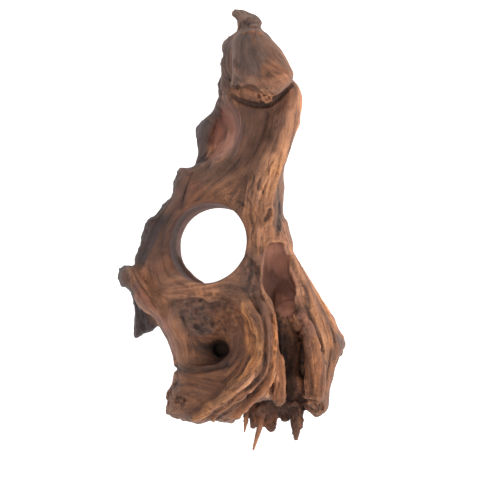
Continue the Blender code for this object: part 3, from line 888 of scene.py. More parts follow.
@dataclass
class HeadBurl(SubAssembly):
    """The scarred knob at the head, and the crooked nub above it."""

    name: str = "head_burl_wood"
    node: str = "head_burl"
    slot: str = "burl_wood"
    foot: float = 100.0  # where the neck ends, at the floor
    lean: float = -0.258  # how far that end leans for each unit up
    lobes: Sequence[Lobe] = (
        Lobe(
            [(4.4, 133), (4.6, 138), (2.8, 143), (0, 145.4), (0.8, 149.4), (4.6, 150), (11, 147.4),
             (17, 145.4), (20.6, 140.8), (19.4, 137), (21, 130), (14, 124), (6, 126)],
            [(3, 147, 50, 57), (12, 141, 43, 61), (12, 128, 36, 66)],
            edge=7, blend=5,
        ),
        Lobe(
            [(3, 132), (10, 135.4), (18, 135.2), (25, 131), (31, 125), (35, 120), (38.6, 112), (41.3, 105),
             (40, 99.5), (34.5, 94.5), (28, 88.6), (22, 85.4), (15, 86), (5, 90), (-2.6, 93), (-2.4, 99),
             (0.4, 106), (-0.6, 116), (0.2, 126)],
            [(4, 122, 40, 82), (12, 130, 44, 82), (30, 120, 44, 84), (12, 112, 50, 88), (20, 104, 56, 95),
             (8, 100, 60, 93), (35, 103, 60, 90), (22, 93, 66, 96), (4, 94, 62, 88)],
            edge=13, blend=8,
        ),
    )
    ribs: Sequence[Strand] = (
        Strand([(1, 126, 56, 6), (-1, 118, 60, 6.5), (-2, 108, 61, 5.6), (-4, 98, 57, 4)], 6),
        Strand([(3, 95, 76, 3.6), (12, 91.6, 78, 5), (22, 91, 79, 5.4)], 3),
    )
    hollows: Sequence[Strand] = (
        groove([(-9, 95, 66, 3), (0, 88.4, 66, 4), (10, 83, 66, 5), (20, 79.8, 66, 5.6), (29, 82.4, 65, 5.4),
                (36, 89.4, 63, 5.2), (42, 97, 60, 3.8)], 2),
        groove([(-8.6, 118.6, 76, 2.6), (-8.8, 118.6, 8, 2.6)], 1.6),
        groove([(-10.6, 106, 76, 2.6), (-10.8, 105, 8, 2.6)], 1.6),
        groove([(-12, 92.6, 76, 2.8), (-12.4, 92, 8, 2.8)], 1.6),
    )
    details: Sequence[Strand] = (
        Strand([(1.4, 113, 0.8), (3.4, 107, 1.4), (6.6, 103.4, 1.6), (12, 100.6, 1.7), (19, 99.4, 1.6),
                (25.4, 100.2, 1.4), (32, 102.4, 1.2), (38, 105, 1)], 2.4, sink=0.6),
        groove([(-0.6, 91, 1.1), (6, 87.6, 1.6), (15, 84.8, 1.8), (24, 84.8, 2.1), (29, 88, 2.4),
                (34, 92.6, 2.3), (40, 98.4, 1.7)], 0.8, sink=0.3),
        Strand([(20, 116, 0.5), (30, 110.6, 0.9), (39, 105.6, 0.7)], 1.4, sink=0.4),
        Strand([(20, 111, 0.5), (30, 107, 0.9), (38.4, 102.8, 0.7)], 1.2, sink=0.4),
        groove([(22, 113.4, 0.4), (31, 108.8, 0.7), (38, 104.2, 0.5)], 1.2),
        Strand([(6, 131.6, 0.8), (13, 133.2, 1.2), (20, 131.8, 1)], 1.6, sink=0.4),
        groove([(1, 98, 0.7), (3.4, 97, 1.2), (5.4, 95, 0.7)], 0.8),
        groove([(-6, 99, 0.4), (-3, 101, 0.7), (0, 100.4, 0.5)], 0.7),
        groove([(-6.4, 96.4, 0.4), (-3, 98, 0.7), (-1, 97, 0.5)], 0.7),
        Strand([(2, 148, 1.2), (4.4, 145.8, 1.4), (7, 142, 1)], 1.6, sink=0.4),
        groove([(6, 140.4, 0.4), (12, 141, 0.7), (18, 139.6, 0.5)], 0.8),
        groove([(5.6, 136.8, 0.4), (12, 137.2, 0.7), (18.6, 136.6, 0.5)], 0.8),
    )
    specks: Sequence[Specks] = (
        Specks(22.6, 90.6, 5, 44, 1), Specks(22, 90.6, 5.4, 30, 0.9, Tool.ADD), Specks(10, 141, 5, 8, 0.7),
    )
    fibres: Sequence[Sequence[Row]] = (
        [(4, 131), (3, 120), (4, 108), (7, 98), (9, 90)],
        [(14, 133), (13, 122), (15, 110), (18, 100), (20, 90)],
        [(22, 132), (25, 122), (31, 113), (38, 106)],
        [(22, 116), (30, 109), (38, 104)],
        [(12, 130), (12, 140), (6, 146), (3, 149)],
    )
    swirls: Sequence[Swirl] = (Swirl(12, 116, 11, 0.7),)
    patches: Sequence[Patch] = (
        Feel.CRUMBLED([(11, 139, 58, 6), (4, 147, 54, 4)], 5),
        Feel.CRUMBLED([(-5, 128, 50, 6), (-7, 112, 46, 6), (-9, 96, 44, 6)], 6, 1.1),
        Tone.BARK([(-5, 128, 50, 6), (-7, 112, 46, 8), (-9, 96, 44, 8)], 8, 0.8),
        Feel.CRUMBLED([(38, 112, 60, 5), (42, 103, 60, 4)], 4, 1.2),
        Feel.CALM([(8, 124, 7), (14, 112, 9), (10, 104, 4)], 7, 0.9),
        # Blue-grey of the burl's weathered upper left, deepened as painted shade on its side turned from the
        # key lamp.
        Tone.SLATE([(6, 128, 6), (9, 118, 8), (12, 110, 6)], 9, 0.95),
        Tone.UMBER([(5, 128, 3), (4, 118, 4), (6, 108, 3)], 8, 0.35),
        Tone.BARK([(-4, 129, 4), (-5, 116, 4), (-6, 104, 4), (-8, 95, 4)], 4, 0.85),
        Tone.BARK([(-4, 96, 70, 3), (-1, 94, 74, 3)], 3, 0.6),
        Tone.SLATE([(3, 147, 3), (10, 143, 5), (18, 141, 3)], 5, 0.8),
        Tone.TAN([(3, 107, 1), (8, 102.5, 1.4), (14, 100, 1.6), (22, 99.6, 2), (30, 101, 2.4),
                  (37, 103, 3)], 3, 0.4),
        Tone.TAN([(8, 133, 1), (19, 132.6, 1)], 2.4, 0.5),
        # Painted light: the burl's foot lightened as a lit lower rim.
        Tone.TAN([(3, 94.6, 1.4), (10, 92.4, 3), (18, 91.4, 4.4), (25, 91, 3.6)], 3),
        Tone.TAN([(22, 107, 2), (30, 105, 3), (37, 104, 2)], 4, 0.7),
        Tone.UMBER([(20, 124, 2), (27, 118, 2)], 6, 0.5),
        Tone.ASH([(6, 113, 2), (7, 105, 2)], 4, 0.5),
        # Painted shade in the small hole at the burl's foot.
        Tone.PAINTED_SHADE([(2, 98, 1.2), (5, 96, 1)], 1.6, 0.7),
        # Painted light on the burl's foot.
        Tone.PAINTED_LIGHT([(6, 92, 2), (12, 90, 2.4), (19, 90, 4), (25, 90, 3)], 3, 0.6),
        Tone.TAN([(26, 106, 2.4), (30, 99, 2.4)], 4, 0.5),
    )

    def holds(self, x: Array, y: Array, z: Array) -> Array:
        """True beyond the leaning cut at the top of the neck."""
        return y > self.foot + self.lean * z


@dataclass
class BrokenRoots(SubAssembly):
    """The stubs and splinters of the broken roots, behind the lower lobes."""

    name: str = "broken_roots_wood"
    node: str = "root_stubs"
    slot: str = "broken_root"
    top: float = -101.0
    left: float = 5.0
    right: float = 49.5
    front: float = 43.0
    lobes: Sequence[Lobe] = (
        Lobe(
            [(9, -104), (22, -98), (38, -98), (48, -106), (48.6, -118), (45, -126), (36, -127), (29, -128),
             (20, -128), (12, -124)],
            [(16, -110, 12, 38), (30, -106, 8, 36), (43, -110, 10, 34), (14, -124, 20, 36),
             (30, -124, 16, 36), (44, -122, 18, 34)],
            edge=9, blend=6,
        ),
    )
    splinters: Sequence[Strand] = (
        Strand([(11.8, -116, 32, 3), (9.8, -129, 33, 1.9), (8.4, -137.6, 33, 0.8)], 1.4),
        Strand([(14, -114, 29, 4.4), (14.4, -127, 28, 3.6), (14.4, -134, 27, 2.2)], 1.6),
        Strand([(20, -120, 34, 2.6), (19, -133, 37, 2.2), (16.6, -142, 38, 1.5),
                (14.5, -149.6, 38, 0.9)], 1.4),
        Strand([(22, -112, 31, 4), (21.4, -126, 30, 2.8), (21.6, -133, 29, 1.4)], 1.4),
        Strand([(26, -110, 30, 7.4), (26.4, -124, 29, 5.6), (26.6, -134.4, 28, 3.6)], 1.6),
        Strand([(31, -112, 32, 3), (30.4, -124, 32, 2.2), (29.6, -131.6, 31, 1.2)], 1.2),
        Strand([(36, -114, 26, 5.4), (36.4, -127.6, 25, 3.4)], 1.6),
        Strand([(40, -114, 31, 2.2), (40.4, -124, 31, 1.5), (41, -130, 30, 0.7)], 1.2),
        Strand([(44, -110, 29, 5.6), (44, -126, 29, 4.6), (44, -136, 29, 3), (44, -142.6, 29, 1.3)], 1.4),
        Strand([(47, -112, 28, 2.8), (47.6, -126, 29, 1.9), (47.6, -135, 29, 1.1)], 1.2),
        Strand([(37.6, -120, 34, 1.6), (42, -118.4, 36, 1.8), (46, -119, 35, 1.4)], 1.4),
    )
    details: Sequence[Strand] = (
        groove([(17.4, -116, 36, 0.8), (17.2, -124, 34, 1), (17.4, -132, 30, 0.8)], 0.8),
        groove([(23.8, -118, 37, 0.6), (23.9, -127, 35, 0.8), (24.4, -133, 32, 0.6)], 0.8),
        groove([(28.6, -118, 37, 0.6), (28.4, -126, 35, 0.8), (28.6, -133, 31, 0.6)], 0.8),
        groove([(45.6, -118, 34, 0.5), (45.8, -128, 33, 0.7), (45.4, -137, 32, 0.5)], 0.7),
    )
    fibres: Sequence[Sequence[Row]] = (
        [(14, -100), (12, -118), (13, -136)],
        [(28, -100), (26, -118), (26, -136)],
        [(44, -100), (44, -120), (44, -142)],
    )
    patches: Sequence[Patch] = (
        Feel.RUGGED([(12, -126, 30, 8), (30, -126, 30, 8), (46, -126, 30, 8)], 8),
        Feel.CRUMBLED([(14, -120, 30, 8), (44, -120, 30, 8)], 6),
        # The stubs' dark brown, partly their own and partly painted shade under the lobes.
        Tone.UMBER([(10, -128, 30, 12), (28, -130, 30, 14), (46, -128, 29, 12)], 6),
        Tone.PAINTED_SHADE([(22, -118, 28, 14), (36, -118, 30, 8), (44, -114, 24, 10)], 6, 0.7),
        Tone.PAINTED_SHADE([(12, -128, 28, 6), (26, -130, 30, 8), (38, -126, 26, 6), (44, -134, 30, 6)], 4, 0.65),
        Tone.ROSE([(46, -120, 31, 1.4), (46, -134, 30, 1.2)], 1.2, 0.7),
        Tone.PALE([(46.6, -122, 33, 0.8), (46.8, -133, 32, 0.7)], 0.9, 0.6),
        Tone.TAN([(9.6, -129, 34, 1.8), (8.4, -137.6, 33, 1.6)], 1, 0.7),
        Tone.TAN([(18.8, -133, 37, 1.6), (17.6, -138, 38, 2), (14.4, -150, 38, 2.4)], 1.4, 0.75),
    )

    def holds(self, x: Array, y: Array, z: Array) -> Array:
        """True low down at the foot, between the lobes' ends."""
        return (x > self.left) & (x < self.right) & (y < self.top) & (z < self.front)


@dataclass
class SideSpur(SubAssembly):
    """The grey-black fin behind the left lip."""

    name: str = "side_spur_wood"
    node: str = "side_spur"
    slot: str = "spur_bark"
    top: float = -46.0
    right: float = -47.0
    front: float = 26.0
    slant_from: float = -61.0  # right of this the top falls away
    lobes: Sequence[Lobe] = (
        Lobe(
            [(-68.6, -42), (-67.6, -56), (-68.2, -68), (-66.4, -74.4), (-60, -70.4), (-54, -68), (-46, -60),
             (-44, -46), (-58, -34)],
            [(-66, -46, 6, 26), (-66, -66, 4, 16), (-56, -60, 4, 26), (-48, -52, 2, 30)],
            edge=9, blend=4,
        ),
    )
    details: Sequence[Strand] = (
        Strand([(-66.5, -48, 0.9), (-65, -60, 1.4), (-65.6, -71, 1)], 1.6),
        groove([(-61.5, -54, 0.8), (-61, -64, 1), (-60, -69, 0.7)], 1.2),
    )
    fibres: Sequence[Sequence[Row]] = ([(-62, -44), (-62, -58), (-66, -72)],)
    patches: Sequence[Patch] = (
        Feel.CRUMBLED([(-66, -48, 16, 8), (-62, -66, 12, 8)], 6, 0.5),
        # The spur's dark bark, and painted shade behind the lip.
        Tone.INK([(-64, -50, 14, 12), (-62, -62, 12, 12)], 6, 0.95),
    )

    def holds(self, x: Array, y: Array, z: Array) -> Array:
        """True low down behind the left lip."""
        top = self.top - np.maximum(x - self.slant_from, 0)
        return (x < self.right) & (y < top) & (z < self.front)


@dataclass
class Neck(SubAssembly):
    """The upper trunk: a troughed neck with the worn bite of the upper bore in its left side."""

    name: str = "neck_wood"
    node: str = "trunk"
    slot: str = "trunk_wood"
    foot: float = 47.0  # where the shoulder ends
    ribs: Sequence[Strand] = (
        Strand([(36, 92, 46, 9), (34.6, 76, 49, 9.6), (31, 60, 52, 9), (27, 44, 55, 8), (22, 28, 58, 7),
                (16, 12, 60, 6)], 10),
        Strand([(3, 91, 49, 5), (8.6, 82, 49, 7), (10, 72, 49, 7), (8, 62, 47, 7), (3, 53, 44, 6),
                (-5, 46, 40, 5)], 8),
    )
    hollows: Sequence[Strand] = (
        groove([(12, 84, 76, 15), (12, 70, 79, 18), (8, 54, 82, 20), (-2, 42, 86, 20)], 10),
    )
    bores: Sequence[Bore] = (Bore(23.0, (-18.0, 68.0, 56.0), (-32.5, 66.7, 28.0), 12, 0),)
    details: Sequence[Strand] = (
        Strand([(6, 84, 0.6), (9, 70, 1), (7, 58, 1), (1, 48, 0.6)], 2.4, sink=0.6),
        groove([(24, 78, 0.4), (21, 66, 0.6), (16, 54, 0.6), (9, 44, 0.4)], 1.8),
        Strand([(30, 78, 0.6), (28, 64, 1), (22, 50, 0.9), (16, 38, 0.6)], 2, sink=0.6),
    )
    rims: Sequence[Strand] = (
        Strand([(-14, 47, 23, 3), (-12, 54, 22, 5), (-10.6, 61, 20, 6), (-10, 69, 21, 6),
                (-7.4, 78, 27, 5)], 5),
        Strand([(-20, 43, 16, 3.4), (-18.6, 48, 21, 4.6), (-18.2, 55, 24, 5.2), (-19, 63, 23, 5.4),
                (-17, 70.4, 26, 5.2), (-10.2, 79, 31, 3.8), (-6.6, 87, 38, 4)], 2),
    )
    fibres: Sequence[Sequence[Row]] = (
        [(-4, 128), (-4, 110), (2, 94), (8, 74), (4, 54), (-10, 40), (-28, 28), (-44, 12), (-54, -6),
         (-62, -24)],
        [(-20, 70), (-18, 56), (-26, 46), (-36, 38), (-42, 22)],
        [(18, 92), (19, 72), (15, 54), (4, 38), (-14, 27)],
        [(30, 88), (28, 72), (22, 54), (16, 38), (15, 22), (17, 4), (17, -14), (16, -28), (12, -40)],
        [(42, 92), (42, 75), (36, 56), (30, 38), (26, 20), (24, 2), (21, -16), (21, -34)],
        [(45, 84), (38, 54), (35, 30), (34, 10), (38, -2)],
    )
    patches: Sequence[Patch] = (
        Feel.CRUMBLED([(-24, 50, 16, 6), (-26, 66, 16, 6), (-16, 80, 24, 5)], 5, 0.9),
        Feel.CRUMBLED([(-12, 84, 40, 5), (-11, 96, 40, 5)], 5, 0.8),
        Feel.CALM([(4, 78, 6), (12, 62, 8), (4, 48, 8)], 10, 0.85),
        Feel.CALM([(6, 80, 2), (7, 72, 2), (5, 62, 2), (1, 54, 2), (-7, 47, 2)]),
        Feel.SAWN([(-13, 51, 22, 3), (-11, 57, 22, 5.6), (-10, 65, 22, 6.6), (-8, 73, 26, 6),
                   (-5, 81, 33, 4)], 2),
        Feel.RUGGED([(30, 40, 4), (25, 28, 4)], 6, 0.3),
        Feel.CALM([(40, 86, 3), (38, 70, 3), (32, 54, 3)], 6, 0.6),
        Tone.ROSE([(-6, 90, 3), (-3, 84, 4)], 6, 0.5),
        # Painted shadow: the neck darkened under the burl's overhang.
        Tone.UMBER([(3, 86, 3), (12, 80, 6), (24, 79, 6), (33, 84, 3)], 8, 0.85),
        # The trough's grey-brown, partly its own colour and partly painted shade in the hollow.
        Tone.SLATE([(12, 68, 5), (8, 58, 5), (-2, 46, 4)], 8, 0.35),
        Tone.UMBER([(36, 86, 2), (33, 74, 3), (29, 62, 3), (24, 52, 3), (14, 52, 2), (0, 44, 3)], 6, 0.45),
        # Painted shade deeper in the trough, over its own dark brown.
        Tone.UMBER([(10, 76, 5), (15, 68, 6), (12, 58, 4)], 8, 0.85),
        # The neck's right edge: golden wood, with painted light where it faces the key lamp.
        Tone.GOLD([(44.6, 88, 2.4), (44, 76, 3), (40.6, 64, 3), (36, 54, 3), (30, 44, 3)], 5, 0.6),
        Tone.PAINTED_LIGHT([(45, 92, 46, 5), (45, 78, 47, 5), (42.6, 67, 48, 5), (37.6, 57, 50, 4),
                    (33, 48, 53, 2)], 4, 0.8),
        # Painted highlight on the ridge that runs down from the neck's right edge.
        Tone.PAINTED_LIGHT([(27, 50, 1.4), (22, 38, 3), (18, 28, 3.4), (15, 18, 2)], 5, 0.75),
        Tone.UMBER([(-12, 40, 2), (-2, 43, 3), (8, 46, 3)], 5, 0.4),
        # More painted light on the neck's right edge.
        Tone.PAINTED_LIGHT([(43, 90, 2.4), (42, 78, 3.4), (40, 68, 3.6), (36, 58, 3)], 5, 0.5),
        Tone.PALE([(1, 88, 0.3), (4.6, 82, 0.4), (5.8, 73, 0.4), (3.8, 63, 0.4), (-0.2, 55, 0.4),
                   (-7, 48, 0.4), (-16, 44.6, 0.3)], 0.8, 0.5),
        Tone.BARK([(-23, 46, 4), (-20, 54, 5), (-20, 64, 6), (-17, 74, 4), (-12, 84, 3), (-11, 94, 2)], 3),
        # Painted light: the bite's bored wall lightened where it lies in the key lamp's shadow.
        Tone.TAN([(-6, 54, 2.4), (-2, 60, 3.4), (0, 66, 3.4), (-2, 76, 3)]),
        Tone.TAN([(-10, 62, 3), (-8, 70, 3), (-5, 80, 3)]),
        Tone.ROSE([(-12, 72, 24, 5), (-7, 82, 32, 5)], 5, 0.9),
        # Painted light on the bite wall's lower part.
        Tone.PAINTED_LIGHT([(-10, 52, 28, 5), (-5, 56, 34, 5), (-1, 62, 38, 3)], 4, 0.75),
        Tone.PAINTED_LIGHT([(-11, 50, 1.6), (-6, 52.4, 2.4), (-1, 57, 2)], 3, 0.7),
        # Painted highlight along the bite's lit edge.
        Tone.PALE([(-12.6, 58, 0.4), (-12.8, 47, 0.4)], 0.8, 0.7),
        Tone.BARK([(-22, 46, 16, 4), (-22, 54, 20, 5.4), (-22, 64, 22, 6.4), (-19, 73, 26, 6),
                   (-13, 80, 32, 4.4), (-9.6, 88, 38, 3.4)]),
        # The fin's dark bark, deepened as painted shade low in the bite.
        Tone.INK([(-23, 46, 16, 4), (-23, 54, 20, 4.6), (-23, 64, 22, 5), (-21, 72, 26, 4.4),
                  (-15, 80, 32, 3)], 4, 0.6),
        Tone.ROSE([(-12, 76, 26, 3), (-13, 66, 22, 3), (-13, 58, 22, 3)], 3, 0.7),
        Tone.UMBER([(-12, 66, 22, 4), (-10, 76, 28, 4)], 4, 0.5),
        # Painted shade in the trough.
        Tone.PAINTED_SHADE([(14, 72, 5), (16, 62, 4)], 8, 0.35),
        # Painted shadow of the burl on the neck below it.
        Tone.UMBER([(12, 81, 4), (21, 78, 5), (29, 80, 3), (29, 72, 3), (24, 64, 4)], 5, 0.6),
        Tone.PAINTED_SHADE([(10, 80, 2), (20, 79, 4), (30, 82, 2.4)], 5, 0.3),
        Tone.UMBER([(5.6, 84, 1), (7.4, 73, 1.4), (5.4, 62, 1.4), (1.2, 53, 1.2)], 1.6, 0.5),
        # Painted shadow in the groove under the burl's foot, widening into the gap at its right.
        Tone.PAINTED_SHADE([(1, 89.6, 0.4), (10, 86, 0.5), (22, 84, 1.2), (29, 87.4, 2.4), (34, 92, 2.6),
                   (40, 97, 2.4)], 3, 0.75),
        # Painted shadow in the gap under the burl's right side.
        Tone.UMBER([(34, 84, 3), (38, 88, 3.6), (41, 93, 3)], 4, 0.8),
        # Painted shade along the trough's upper part.
        Tone.PAINTED_SHADE([(9, 83, 2), (12.4, 76, 2.4), (11, 69, 1.6)], 4, 0.45),
        Tone.TAN([(40, 88, 2), (42, 93, 2)], 3, 0.5),
        # Painted light on the neck's right side, where it faces the key lamp.
        Tone.GOLD_AND_PAINTED_LIGHT([(45.8, 91, 44, 3), (45.6, 83, 45, 3), (44, 74, 46, 3), (41.6, 66, 47, 3)], 3, 0.4),
    )

    def holds(self, x: Array, y: Array, z: Array) -> Array:
        """True above the shoulder."""
        return y > self.foot


